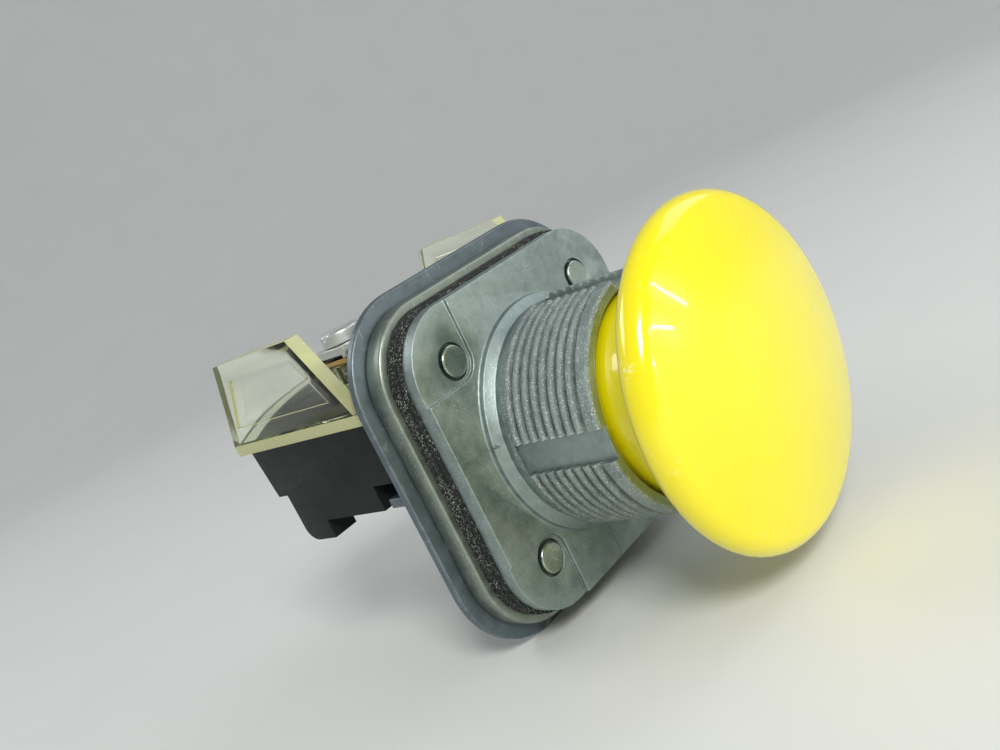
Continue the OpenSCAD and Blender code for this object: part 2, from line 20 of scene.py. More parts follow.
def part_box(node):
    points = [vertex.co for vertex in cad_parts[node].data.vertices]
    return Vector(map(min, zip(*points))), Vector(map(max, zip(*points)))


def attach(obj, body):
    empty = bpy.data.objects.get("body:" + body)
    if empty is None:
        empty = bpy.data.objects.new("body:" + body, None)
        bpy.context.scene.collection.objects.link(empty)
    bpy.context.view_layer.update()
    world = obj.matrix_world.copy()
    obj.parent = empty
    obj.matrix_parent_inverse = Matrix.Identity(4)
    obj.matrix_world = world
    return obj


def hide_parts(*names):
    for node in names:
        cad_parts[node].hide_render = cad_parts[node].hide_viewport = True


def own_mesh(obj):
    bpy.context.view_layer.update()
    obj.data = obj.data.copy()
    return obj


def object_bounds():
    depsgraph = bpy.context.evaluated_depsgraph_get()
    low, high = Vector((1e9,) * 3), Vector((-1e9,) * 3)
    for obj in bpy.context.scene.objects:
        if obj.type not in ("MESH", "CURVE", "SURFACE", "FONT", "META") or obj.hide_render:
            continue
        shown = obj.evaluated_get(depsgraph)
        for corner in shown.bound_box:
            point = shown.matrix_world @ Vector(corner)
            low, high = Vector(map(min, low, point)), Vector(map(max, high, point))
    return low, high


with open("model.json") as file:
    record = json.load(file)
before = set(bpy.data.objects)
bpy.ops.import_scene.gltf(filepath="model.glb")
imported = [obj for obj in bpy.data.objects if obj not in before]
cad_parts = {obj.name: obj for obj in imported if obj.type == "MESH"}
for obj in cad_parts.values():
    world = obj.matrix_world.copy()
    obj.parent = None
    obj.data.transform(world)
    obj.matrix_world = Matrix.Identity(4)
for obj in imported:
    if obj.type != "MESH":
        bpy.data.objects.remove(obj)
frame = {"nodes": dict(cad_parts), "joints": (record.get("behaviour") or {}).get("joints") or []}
CAD_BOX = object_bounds()

MM = 0.001
WELD = 1e-6
FULL_TURN = 2 * math.pi
log = logging.getLogger("operator")

Point = tuple[float, float]


class Join(Enum):
    """How one solid changes another."""

    CUT = "DIFFERENCE"
    ADD = "UNION"


# ---------------------------------------------------------------------------------- modelling


def take(piece: bpy.types.Object) -> None:
    """Makes one object the only selected and the active one.

    Args:
        piece: The object to work on.
    """
    bpy.ops.object.select_all(action="DESELECT")
    piece.select_set(True)
    bpy.context.view_layer.objects.active = piece


@contextmanager
def editing(piece: bpy.types.Object, mode: str = "VERT") -> Iterator[None]:
    """Holds a piece in edit mode with everything selected.

    Args:
        piece: The mesh object to edit.
        mode: Select mode, VERT, EDGE or FACE.
    """
    take(piece)
    bpy.ops.object.mode_set(mode="EDIT")
    bpy.ops.mesh.select_mode(type=mode)
    bpy.ops.mesh.select_all(action="SELECT")
    yield
    bpy.ops.object.mode_set(mode="OBJECT")


def settled(piece: bpy.types.Object) -> bpy.types.Object:
    """Puts a piece's place, turn and scale into its mesh.

    Args:
        piece: The object to settle.

    Returns:
        The same object, at the origin.
    """
    take(piece)
    bpy.ops.object.transform_apply(location=True, rotation=True, scale=True)
    return piece


def modified(piece: bpy.types.Object, kind: str, **settings: Any) -> bpy.types.Object:
    """Adds a modifier, sets it and applies it.

    Args:
        piece: The object that gets it.
        kind: The modifier's type.
        **settings: Its properties by name.

    Returns:
        The same object.
    """
    take(piece)
    bpy.ops.object.modifier_add(type=kind)
    modifier = piece.modifiers[-1]
    for name, value in settings.items():
        setattr(modifier, name, value)
    bpy.ops.object.modifier_apply(modifier=modifier.name)
    return piece


def shaped(piece: bpy.types.Object, join: Join, *tools: bpy.types.Object) -> bpy.types.Object:
    """Cuts or adds solids, and clears the tools away.

    Args:
        piece: The solid to change.
        join: Cut away or add.
        *tools: The solids that do it.

    Returns:
        The changed piece.
    """
    for tool in tools:
        modified(piece, "BOOLEAN", operation=join.value, object=tool, solver="EXACT")
        bpy.data.objects.remove(tool)
    return piece


def softened(piece: bpy.types.Object, width: float, segments: int = 2, angle: float = 35) -> bpy.types.Object:
    """Rounds every sharp edge and shades the piece smooth between edges.

    Args:
        piece: The solid to finish.
        width: How wide the rounding is, in metres.
        segments: Facets across the rounding.
        angle: Smallest angle in degrees that counts as an edge.

    Returns:
        The same piece.
    """
    modified(
        piece,
        "BEVEL",
        width=width,
        segments=segments,
        limit_method="ANGLE",
        angle_limit=math.radians(angle),
        use_clamp_overlap=True,
    )
    return smoothed(piece, angle)


def smoothed(piece: bpy.types.Object, angle: float = 35) -> bpy.types.Object:
    """Shades a piece smooth where faces meet at less than an angle.

    Args:
        piece: The piece to shade.
        angle: The angle in degrees.

    Returns:
        The same piece.
    """
    take(piece)
    bpy.ops.object.shade_smooth_by_angle(angle=math.radians(angle))
    return piece


def drawn(name: str, points: Sequence[Vector], closed: bool = True) -> bpy.types.Object:
    """Draws a chain of edges by extruding one vertex from point to point.

    Args:
        name: The new object's name.
        points: The chain's points, in metres.
        closed: Whether it comes back to its first point.

    Returns:
        An object that holds only the chain.
    """
    bpy.ops.object.select_all(action="DESELECT")
    bpy.ops.mesh.primitive_plane_add(size=MM, location=points[0])
    chain = bpy.context.object
    chain.name = name
    settled(chain)
    ends = list(points[1:]) + ([points[0]] if closed else [])
    with editing(chain):
        bpy.ops.mesh.merge(type="CENTER")
        last = points[0]
        for end in ends:
            bpy.ops.mesh.extrude_region_move(TRANSFORM_OT_translate={"value": end - last})
            last = end
        bpy.ops.mesh.select_all(action="SELECT")
        bpy.ops.mesh.remove_doubles(threshold=WELD)
    return chain


def turned(name: str, section: Sequence[Point], steps: int = 96, closed: bool = True) -> bpy.types.Object:
    """Turns a (radius, y) section round the Y axis.

    Args:
        name: The new piece's name.
        section: The section's points in millimetres.
        steps: Facets round the turn.
        closed: False where both ends of the section lie on the axis.

    Returns:
        A closed solid of revolution.
    """
    piece = drawn(name, [Vector((r, y, 0)) * MM for r, y in section], closed)
    with editing(piece):
        bpy.ops.mesh.spin(steps=steps, angle=FULL_TURN, center=(0, 0, 0), axis=(0, 1, 0))
        bpy.ops.mesh.select_all(action="SELECT")
        bpy.ops.mesh.remove_doubles(threshold=WELD)
        bpy.ops.mesh.normals_make_consistent(inside=False)
    return smoothed(piece)


def pulled(name: str, outline: Sequence[Vector], pull: Vector) -> bpy.types.Object:
    """Fills an outline and extrudes it to a solid.

    Args:
        name: The new piece's name.
        outline: The outline's points, in metres.
        pull: The way and distance of the extrusion.

    Returns:
        The solid.
    """
    piece = drawn(name, outline)
    with editing(piece):
        bpy.ops.mesh.edge_face_add()
        bpy.ops.mesh.extrude_region_move(TRANSFORM_OT_translate={"value": pull})
        bpy.ops.mesh.select_all(action="SELECT")
        bpy.ops.mesh.normals_make_consistent(inside=False)
    return piece


def rod(radius: float, start: float, end: float, x: float = 0, z: float = 0, steps: int = 48) -> bpy.types.Object:
    """A plain rod along Y that cuts a hole.

    Args:
        radius: Its radius in millimetres.
        start: Its lower y in millimetres.
        end: Its higher y in millimetres.
        x: Place of its axis.
        z: Place of its axis.
        steps: Facets round it.

    Returns:
        The rod.
    """
    bpy.ops.object.select_all(action="DESELECT")
    bpy.ops.mesh.primitive_cylinder_add(
        vertices=steps,
        radius=radius * MM,
        depth=(end - start) * MM,
        location=(x * MM, (start + end) / 2 * MM, z * MM),
        rotation=(math.pi / 2, 0, 0),
    )
    return settled(bpy.context.object)


def brick(low: Sequence[float], high: Sequence[float]) -> bpy.types.Object:
    """A plain box between two corners, used as a cutter or as a start.

    Args:
        low: Its lowest corner in millimetres.
        high: Its highest corner in millimetres.

    Returns:
        The box.
    """
    centre = [(a + b) / 2 * MM for a, b in zip(low, high)]
    bpy.ops.object.select_all(action="DESELECT")
    bpy.ops.mesh.primitive_cube_add(size=1, location=centre)
    box = bpy.context.object
    box.scale = [(b - a) * MM for a, b in zip(low, high)]
    return settled(box)


def rounded_slab(name: str, half: float, corner: float, start: float, end: float) -> bpy.types.Object:
    """A square slab across Y with round corners.

    Args:
        name: The new piece's name.
        half: Half of its side in millimetres.
        corner: Its corner radius.
        start: Its lower y.
        end: Its higher y.

    Returns:
        The slab.
    """
    bpy.ops.object.select_all(action="DESELECT")
    bpy.ops.mesh.primitive_plane_add(
        size=2 * half * MM, location=(0, start * MM, 0), rotation=(math.pi / 2, 0, 0)
    )
    slab = settled(bpy.context.object)
    slab.name = name
    with editing(slab):
        bpy.ops.mesh.bevel(offset=corner * MM, segments=16, affect="VERTICES")
        bpy.ops.mesh.select_all(action="SELECT")
        bpy.ops.mesh.extrude_region_move(
            TRANSFORM_OT_translate={"value": (0, (end - start) * MM, 0)}
        )
        bpy.ops.mesh.select_all(action="SELECT")
        bpy.ops.mesh.normals_make_consistent(inside=False)
    return slab


def worked_copy(node: str, name: str, width: float, segments: int = 2) -> bpy.types.Object:
    """Takes a copy of a CAD node's mesh, merges it into clean faces and rounds its edges.

    Args:
        node: The CAD node.
        name: The new piece's name.
        width: Edge rounding in metres.
        segments: Facets across the rounding.

    Returns:
        The new piece, which still has to ride and replace.
    """
    source = frame["nodes"][node]
    piece = bpy.data.objects.new(name, source.data.copy())
    bpy.context.scene.collection.objects.link(piece)
    with editing(piece):
        bpy.ops.mesh.remove_doubles(threshold=WELD)
        bpy.ops.mesh.dissolve_limited(angle_limit=math.radians(1))
    return softened(piece, width, segments)


def arc(centre: Point, radius: float, start: float, end: float, count: int) -> list[Point]:
    """Points along an arc in a (radius, y) section.

    Args:
        centre: The arc's centre.
        radius: Its radius.
        start: First angle in degrees, from the radius axis.
        end: Last angle in degrees.
        count: How many points.

    Returns:
        The points in order.
    """
    angles = [math.radians(start + (end - start) * i / (count - 1)) for i in range(count)]
    return [(centre[0] + radius * math.cos(a), centre[1] + radius * math.sin(a)) for a in angles]


def span(node: str) -> tuple[Vector, Vector]:
    """A CAD node's lowest and highest corner in millimetres."""
    low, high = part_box(node)
    return low / MM, high / MM


def copies(piece: bpy.types.Object, names: Sequence[str], places: Sequence[Vector]) -> list[bpy.types.Object]:
    """Copies a piece to several places, each copy with its own mesh.

    Args:
        piece: The piece, modelled at the origin. It becomes the first copy.
        names: A name for each copy.
        places: Where each copy goes, in metres.

    Returns:
        The placed copies.
    """
    made = []
    for name, place in zip(names, places):
        copy = bpy.data.objects.new(name, piece.data.copy())
        bpy.context.scene.collection.objects.link(copy)
        copy.location = place
        made.append(settled(copy))
    bpy.data.objects.remove(piece)
    return made


# ---------------------------------------------------------------------------------- shader kit


@dataclass
class Sheet:
    """Places and joins the nodes of one shader tree."""

    tree: bpy.types.NodeTree

    def add(self, kind: str, inputs: dict[int | str, Any] | None = None, **settings: Any) -> bpy.types.Node:
        """Adds a node.

        Args:
            kind: The node's type without its ShaderNode prefix.
            inputs: A value, or a socket to link, for each input.
            **settings: The node's own properties.

        Returns:
            The node.
        """
        node = self.tree.nodes.new("ShaderNode" + kind)
        for name, value in settings.items():
            setattr(node, name, value)
        for key, value in (inputs or {}).items():
            if isinstance(value, bpy.types.NodeSocket):
                self.tree.links.new(value, node.inputs[key])
            else:
                node.inputs[key].default_value = value
        return node

    def math(self, operation: str, *values: Any, clamp: bool = False) -> bpy.types.NodeSocket:
        """A Math node's result.

        Args:
            operation: The node's operation.
            *values: Numbers or sockets, in order.
            clamp: Whether the result stays between 0 and 1.

        Returns:
            The result's socket.
        """
        inputs = dict(enumerate(values))
        return self.add("Math", inputs, operation=operation, use_clamp=clamp).outputs[0]

    def mix(self, factor: Any, first: Any, second: Any, blend: str = "MIX") -> bpy.types.NodeSocket:
        """Mixes two colours.

        Args:
            factor: A number or socket.
            first: A colour or socket.
            second: A colour or socket.
            blend: The blend type.

        Returns:
            The mixed colour's socket.
        """
        inputs = {0: factor, 6: first, 7: second}
        return self.add("Mix", inputs, data_type="RGBA", blend_type=blend).outputs[2]

    def fit(self, value: Any, low: float, high: float, to_low: float = 0, to_high: float = 1) -> bpy.types.NodeSocket:
        """Maps a value from one range to another, clamped.

        Args:
            value: The socket to map.
            low: Start of its range.
            high: End of its range.
            to_low: Result at low.
            to_high: Result at high.

        Returns:
            The mapped value's socket.
        """
        inputs = {0: value, 1: low, 2: high, 3: to_low, 4: to_high}
        return self.add("MapRange", inputs).outputs[0]

    def noise(self, vector: Any, scale: float, detail: float = 4, rough: float = 0.55) -> bpy.types.NodeSocket:
        """A noise value over the surface.

        Args:
            vector: The coordinate socket.
            scale: Features to the metre.
            detail: Octaves.
            rough: How strong the finer octaves are.

        Returns:
            The noise value's socket.
        """
        inputs = {"Vector": vector, "Scale": scale, "Detail": detail, "Roughness": rough}
        return self.add("TexNoise", inputs).outputs[0]

    def use(self, group: bpy.types.NodeTree, inputs: dict[str, Any]) -> bpy.types.Node:
        """Places a node group.

        Args:
            group: The group.
            inputs: Values or sockets for its inputs.

        Returns:
            The group's node.
        """
        node = self.tree.nodes.new("ShaderNodeGroup")
        node.node_tree = group
        for key, value in inputs.items():
            if isinstance(value, bpy.types.NodeSocket):
                self.tree.links.new(value, node.inputs[key])
            else:
                node.inputs[key].default_value = value
        return node


def new_group(name: str, inputs: dict[str, str], outputs: Sequence[str]) -> tuple[Sheet, bpy.types.Node, bpy.types.Node]:
    """Starts a shader node group.

    Args:
        name: The group's name.
        inputs: Socket type for each input name.
        outputs: Names of its value outputs.

    Returns:
        The group's sheet, its input node and its output node.
    """
    tree = bpy.data.node_groups.new(name, "ShaderNodeTree")
    for label, kind in inputs.items():
        tree.interface.new_socket(label, in_out="INPUT", socket_type=kind)
    for label in outputs:
        tree.interface.new_socket(label, in_out="OUTPUT", socket_type="NodeSocketFloat")
    start = tree.nodes.new("NodeGroupInput")
    end = tree.nodes.new("NodeGroupOutput")
    return Sheet(tree), start, end


VALUE = "NodeSocketFloat"
VECTOR = "NodeSocketVector"


@dataclass
class SurfaceEffects:
    """The node groups that several finishes share."""

    edge: bpy.types.NodeTree = field(init=False)
    painted_shade: bpy.types.NodeTree = field(init=False)
    specks: bpy.types.NodeTree = field(init=False)
    scratches: bpy.types.NodeTree = field(init=False)
    grain: bpy.types.NodeTree = field(init=False)

    def __post_init__(self) -> None:
        """Builds every group once."""
        self.edge = self.edge_wear()
        self.painted_shade = self.painted_crevice_shade()
        self.specks = self.fine_specks()
        self.scratches = self.handling_scratches()
        self.grain = self.surface_grain()

    def edge_wear(self) -> bpy.types.NodeTree:
        """A mask that is 1 along rubbed outer edges."""
        sheet, start, end = new_group(
            "edge_wear", {"Vector": VECTOR, "Radius": VALUE, "Breakup": VALUE, "Amount": VALUE}, ["Mask"]
        )
        round_normal = sheet.add("Bevel", {"Radius": start.outputs["Radius"]}, samples=4).outputs[0]
        flat_normal = sheet.add("NewGeometry").outputs["Normal"]
        dot = sheet.add("VectorMath", {0: round_normal, 1: flat_normal}, operation="DOT_PRODUCT")
        bend = sheet.fit(sheet.math("SUBTRACT", 1.0, dot.outputs["Value"]), 0.01, 0.16)
        open_air = sheet.add("AmbientOcclusion", {"Distance": start.outputs["Radius"]}, samples=4).outputs[1]
        outer = sheet.fit(open_air, 0.45, 0.75)
        broken = sheet.fit(sheet.noise(start.outputs["Vector"], 1.0, 5), 0.38, 0.62)
        sheet.tree.links.new(start.outputs["Breakup"], broken.node.inputs[0].links[0].from_node.inputs["Scale"])
        worn = sheet.math("MULTIPLY", sheet.math("MULTIPLY", bend, outer), broken)
        sheet.tree.links.new(sheet.math("MULTIPLY", worn, start.outputs["Amount"], clamp=True), end.inputs[0])
        return sheet.tree

    def painted_crevice_shade(self) -> bpy.types.NodeTree:
        """A painted-shade mask that is 1 in corners and hollows, where shade falls."""
        sheet, start, end = new_group("painted_crevice_shade", {"Vector": VECTOR, "Reach": VALUE, "Amount": VALUE}, ["Mask"])
        # Ambient occlusion finds the corners and hollows where shade falls; finishes paint that shade into their
        # colour.
        open_air = sheet.add("AmbientOcclusion", {"Distance": start.outputs["Reach"]}, samples=6).outputs[1]
        closed_in = sheet.fit(open_air, 0.85, 0.25)
        patchy = sheet.fit(sheet.noise(start.outputs["Vector"], 900, 4), 0.25, 0.7, 0.45, 1.0)
        mask = sheet.math("MULTIPLY", sheet.math("MULTIPLY", closed_in, patchy), start.outputs["Amount"], clamp=True)
        sheet.tree.links.new(mask, end.inputs[0])
        return sheet.tree

    def fine_specks(self) -> bpy.types.NodeTree:
        """Scattered dots: a share of the cells of a pattern holds one each."""
        sheet, start, end = new_group(
            "fine_specks", {"Vector": VECTOR, "Scale": VALUE, "Share": VALUE, "Size": VALUE}, ["Mask"]
        )
        cells = sheet.add("TexVoronoi", {"Vector": start.outputs["Vector"], "Scale": start.outputs["Scale"]})
        lot = sheet.add("SeparateColor", {0: cells.outputs["Color"]}).outputs[0]
        chosen = sheet.math("LESS_THAN", lot, start.outputs["Share"])
        radius = sheet.math("MULTIPLY", start.outputs["Size"], sheet.math("ADD", lot, 0.4))
        near = sheet.math("LESS_THAN", cells.outputs["Distance"], radius)
        sheet.tree.links.new(sheet.math("MULTIPLY", chosen, near), end.inputs[0])
        return sheet.tree

    def handling_scratches(self) -> bpy.types.NodeTree:
        """Thin lines in two directions, with gaps."""
        sheet, start, end = new_group(
            "handling_scratches", {"Vector": VECTOR, "Scale": VALUE, "Width": VALUE, "Amount": VALUE}, ["Mask"]
        )
        masks = []
        for turn, stretch in ((0.5, (1, 0.06, 0.9)), (2.1, (0.9, 1, 0.05))):
            mapping = {"Vector": start.outputs["Vector"], "Rotation": (turn, turn * 0.6, turn * 1.7), "Scale": stretch}
            placed = sheet.add("Mapping", mapping).outputs[0]
            wander = sheet.add("TexVoronoi", {"Vector": placed, "Scale": start.outputs["Scale"]}, feature="DISTANCE_TO_EDGE")
            line = sheet.math("LESS_THAN", wander.outputs["Distance"], start.outputs["Width"])
            gaps = sheet.fit(sheet.noise(start.outputs["Vector"], 260 * turn, 3), 0.55, 0.62)
            masks.append(sheet.math("MULTIPLY", line, gaps))
        both = sheet.math("MAXIMUM", *masks)
        sheet.tree.links.new(sheet.math("MULTIPLY", both, start.outputs["Amount"]), end.inputs[0])
        return sheet.tree

    def surface_grain(self) -> bpy.types.NodeTree:
        """Fine and coarse grain: a height for bump and a slow cloud for colour."""
        sheet, start, end = new_group("surface_grain", {"Vector": VECTOR, "Scale": VALUE}, ["Height", "Cloud"])
        vector, scale = start.outputs["Vector"], start.outputs["Scale"]
        cells = sheet.add("TexVoronoi", {"Vector": vector, "Scale": scale}, feature="SMOOTH_F1")
        fine = sheet.add("TexNoise", {"Vector": vector, "Scale": scale, "Detail": 5.0, "Roughness": 0.65}).outputs[0]
        height = sheet.math("ADD", sheet.math("MULTIPLY", cells.outputs["Distance"], 0.6), fine)
        slow = sheet.math("MULTIPLY", scale, 0.11)
        cloud = sheet.add("TexNoise", {"Vector": vector, "Scale": slow, "Detail": 6.0, "Roughness": 0.6}).outputs[0]
        sheet.tree.links.new(height, end.inputs[0])
        sheet.tree.links.new(cloud, end.inputs[1])
        return sheet.tree


EFFECTS = SurfaceEffects()

Colour = tuple[float, float, float, float]


def shade(red: float, green: float, blue: float) -> Colour:
    """An opaque linear colour."""
    return (red, green, blue, 1.0)


@dataclass(frozen=True)
class Finish:
    """A named finish with the name of its repaint slot."""

    name: str
    slot: str

    def wire(self, sheet: Sheet, shader: bpy.types.Node, at: bpy.types.NodeSocket) -> None:
        """Joins the finish's nodes to its shader; each kind of finish says how.

        Args:
            sheet: The material's sheet.
            shader: Its Principled BSDF.
            at: Object coordinates.
        """
        raise NotImplementedError

    def material(self) -> bpy.types.Material:
        """The finish's material, built on first use."""
        found = bpy.data.materials.get(self.name)
        if found:
            return found
        made = bpy.data.materials.new(self.name)
        made.use_nodes = True
        sheet = Sheet(made.node_tree)
        at = sheet.add("TexCoord").outputs["Object"]
        self.wire(sheet, made.node_tree.nodes["Principled BSDF"], at)
        return made

    def dress(self, piece: bpy.types.Object) -> None:
        """Gives a piece this finish all over.

        Args:
            piece: The piece, or a CAD node that stays.
        """
        piece.data.materials.clear()
        piece.data.materials.append(self.material())
        for polygon in piece.data.polygons:
            polygon.material_index = 0

    @staticmethod
    def bump(sheet: Sheet, shader: bpy.types.Node, height: Any, strength: float, depth: float) -> None:
        """Feeds a height to the shader's normal.

        Args:
            sheet: The material's sheet.
            shader: Its Principled BSDF.
            height: The height's socket.
            strength: Share of the bump that shows.
            depth: Its real depth in metres.
        """
        inputs = {"Height": height, "Strength": strength, "Distance": depth}
        normal = sheet.add("Bump", inputs).outputs[0]
        sheet.tree.links.new(normal, shader.inputs["Normal"])


@dataclass(frozen=True)
class Metal(Finish):
    """Cast, rolled or turned metal with grain, edge wear, painted shade in hollows, painted glints and handling marks.
    """

    base: Colour
    cloud: Colour
    bright: Colour
    rough: float = 0.42
    rough_spread: float = 0.14
    grain: float = 5200
    grain_depth: float = 0.02 * MM
    grain_strength: float = 0.35
    painted_glint_share: float = 0.0
    wear: float = 0.7
    wear_radius: float = 0.35 * MM
    painted_shade: float = 0.55
    scratches: float = 0.35
    metallic: float = 1.0
    rings: float = 0.0

    def wire(self, sheet: Sheet, shader: bpy.types.Node, at: bpy.types.NodeSocket) -> None:
        """Joins grain, cloud, wear, painted shade in hollows, scratches and painted glints.

        Args:
            sheet: The material's sheet.
            shader: Its Principled BSDF.
            at: Object coordinates.
        """
        grain = sheet.use(EFFECTS.grain, {"Vector": at, "Scale": self.grain})
        wear = sheet.use(
            EFFECTS.edge, {"Vector": at, "Radius": self.wear_radius, "Breakup": 1400.0, "Amount": self.wear}
        ).outputs[0]
        painted_shade = sheet.use(EFFECTS.painted_shade, {"Vector": at, "Reach": 1.2 * MM, "Amount": self.painted_shade}).outputs[0]
        marks = sheet.use(
            EFFECTS.scratches, {"Vector": at, "Scale": 420.0, "Width": 0.012, "Amount": self.scratches}
        ).outputs[0]
        cloud = sheet.fit(grain.outputs["Cloud"], 0.32, 0.68)
        colour = sheet.mix(cloud, self.base, self.cloud)
        # Painted glints: a share of tiny cells turns the bright colour, standing in for glints off the cast grain.
        if self.painted_glint_share:
            painted_glints = sheet.use(
                EFFECTS.specks, {"Vector": at, "Scale": self.grain * 1.1, "Share": self.painted_glint_share, "Size": 0.75}
            ).outputs[0]
            colour = sheet.mix(painted_glints, colour, self.bright)
        colour = sheet.mix(sheet.math("MAXIMUM", wear, marks), colour, self.bright)
        # Painted shade: near-black mixed in where corners and hollows are closed in.
        colour = sheet.mix(painted_shade, colour, shade(0.035, 0.037, 0.034))
        sheet.tree.links.new(colour, shader.inputs["Base Color"])
        uneven = sheet.fit(cloud, 0, 1, self.rough - self.rough_spread / 2, self.rough + self.rough_spread / 2)
        rubbed = sheet.math("SUBTRACT", uneven, sheet.math("MULTIPLY", wear, 0.12))
        roughened_in_crevices = sheet.math("ADD", rubbed, sheet.math("MULTIPLY", painted_shade, 0.25), clamp=True)
        sheet.tree.links.new(roughened_in_crevices, shader.inputs["Roughness"])
        shader.inputs["Metallic"].default_value = self.metallic
        height = grain.outputs["Height"]
        if self.rings:
            wave = sheet.add("TexWave", {"Vector": at, "Scale": self.rings, "Distortion": 1.5}, wave_type="RINGS", rings_direction="Y")
            height = sheet.math("ADD", height, sheet.math("MULTIPLY", wave.outputs[1], 0.5))
        height = sheet.math("SUBTRACT", height, sheet.math("MULTIPLY", marks, 0.4))
        self.bump(sheet, shader, height, self.grain_strength, self.grain_depth)


@dataclass(frozen=True)
class Moulded(Finish):
    """Moulded plastic or rubber: slow tone, faint orange peel, dust and scuffs."""

    base: Colour
    tone: Colour
    scuff: Colour
    rough: float = 0.3
    rough_spread: float = 0.08
    peel: float = 420
    peel_depth: float = 0.05 * MM
    peel_strength: float = 0.08
    dust: float = 0.15
    dust_colour: Colour = (0.45, 0.45, 0.40, 1.0)
    coat: float = 0.0
    painted_shade: float = 0.4
    scratches: float = 0.12
    glow: float = 0.0
    sheen: float = 0.5
    knock: tuple[float, float, float] | None = None

    def wire(self, sheet: Sheet, shader: bpy.types.Node, at: bpy.types.NodeSocket) -> None:
        """Joins tone, dust, scuffs, painted shade in hollows and peel.

        Args:
            sheet: The material's sheet.
            shader: Its Principled BSDF.
            at: Object coordinates.
        """
        tone = sheet.fit(sheet.noise(at, self.peel * 0.12, 5), 0.3, 0.7)
        colour = sheet.mix(tone, self.base, self.tone)
        dust = sheet.use(EFFECTS.specks, {"Vector": at, "Scale": 1600.0, "Share": self.dust, "Size": 0.16}).outputs[0]
        marks = sheet.use(
            EFFECTS.scratches, {"Vector": at, "Scale": 300.0, "Width": 0.006, "Amount": self.scratches}
        ).outputs[0]
        painted_shade = sheet.use(EFFECTS.painted_shade, {"Vector": at, "Reach": 1.5 * MM, "Amount": self.painted_shade}).outputs[0]
        if self.knock:
            marks = sheet.math("MAXIMUM", marks, self.knocked(sheet, at))
        colour = sheet.mix(marks, colour, self.scuff)
        colour = sheet.mix(sheet.math("MULTIPLY", dust, 0.6), colour, self.dust_colour)
        # Painted shade: a darkened copy of the colour, mixed in where corners and hollows are closed in.
        dark = sheet.mix(1.0, colour, shade(0.32, 0.28, 0.22), "MULTIPLY")
        colour = sheet.mix(painted_shade, colour, dark)
        sheet.tree.links.new(colour, shader.inputs["Base Color"])
        smear = sheet.fit(sheet.noise(at, self.peel * 0.5, 6, 0.7), 0.3, 0.7)
        uneven = sheet.fit(smear, 0, 1, self.rough - self.rough_spread / 2, self.rough + self.rough_spread / 2)
        rough = sheet.math("ADD", uneven, sheet.math("MULTIPLY", sheet.math("MAXIMUM", dust, marks), 0.3), clamp=True)
        sheet.tree.links.new(rough, shader.inputs["Roughness"])
        shader.inputs["Coat Weight"].default_value = self.coat
        shader.inputs["Specular IOR Level"].default_value = self.sheen
        shader.inputs["Subsurface Weight"].default_value = self.glow
        shader.inputs["Subsurface Radius"].default_value = (1.0, 0.6, 0.1)
        shader.inputs["Subsurface Scale"].default_value = 1.0 * MM
        waves = sheet.noise(at, self.peel, 3)
        height = sheet.math("SUBTRACT", waves, sheet.math("MULTIPLY", marks, 0.5))
        self.bump(sheet, shader, height, self.peel_strength, self.peel_depth)


    def knocked(self, sheet: Sheet, at: bpy.types.NodeSocket) -> bpy.types.NodeSocket:
        """A small broken scuff round one knocked spot.

        Args:
            sheet: The material's sheet.
            at: Object coordinates.

        Returns:
            The scuff's mask.
        """
        away = sheet.add("VectorMath", {0: at, 1: self.knock}, operation="DISTANCE").outputs["Value"]
        near = sheet.fit(away, 1.3 * MM, 0.3 * MM)
        broken = sheet.fit(sheet.noise(at, 1500, 5), 0.5, 0.6)
        return sheet.math("MULTIPLY", near, broken)


@dataclass(frozen=True)
class Clear(Finish):
    """Clear plastic; a paler, less clear copy of it paints the glow at the cover's edges."""

    tint: Colour
    depth_tint: Colour
    density: float = 35.0
    rough: float = 0.05
    transmission: float = 1.0

    def wire(self, sheet: Sheet, shader: bpy.types.Node, at: bpy.types.NodeSocket) -> None:
        """Joins smears, flow ripples and fine scratches; tint and absorption are plain.

        Args:
            sheet: The material's sheet.
            shader: Its Principled BSDF.
            at: Object coordinates.
        """
        shader.inputs["Base Color"].default_value = self.tint
        shader.inputs["Transmission Weight"].default_value = self.transmission
        shader.inputs["IOR"].default_value = 1.5
        smear = sheet.fit(sheet.noise(at, 240, 6, 0.7), 0.45, 0.75)
        marks = sheet.use(EFFECTS.scratches, {"Vector": at, "Scale": 380.0, "Width": 0.008, "Amount": 0.5}).outputs[0]
        hazy = sheet.fit(smear, 0, 1, self.rough, self.rough + 0.09)
        rough = sheet.math("ADD", hazy, sheet.math("MULTIPLY", marks, 0.25), clamp=True)
        sheet.tree.links.new(rough, shader.inputs["Roughness"])
        flow = sheet.math("SUBTRACT", sheet.noise(at, 130, 2), sheet.math("MULTIPLY", marks, 0.3))
        self.bump(sheet, shader, flow, 0.12, 0.2 * MM)
        inside = sheet.add("VolumeAbsorption", {"Color": self.depth_tint, "Density": self.density})
        out = sheet.tree.nodes["Material Output"]
        sheet.tree.links.new(inside.outputs[0], out.inputs["Volume"])


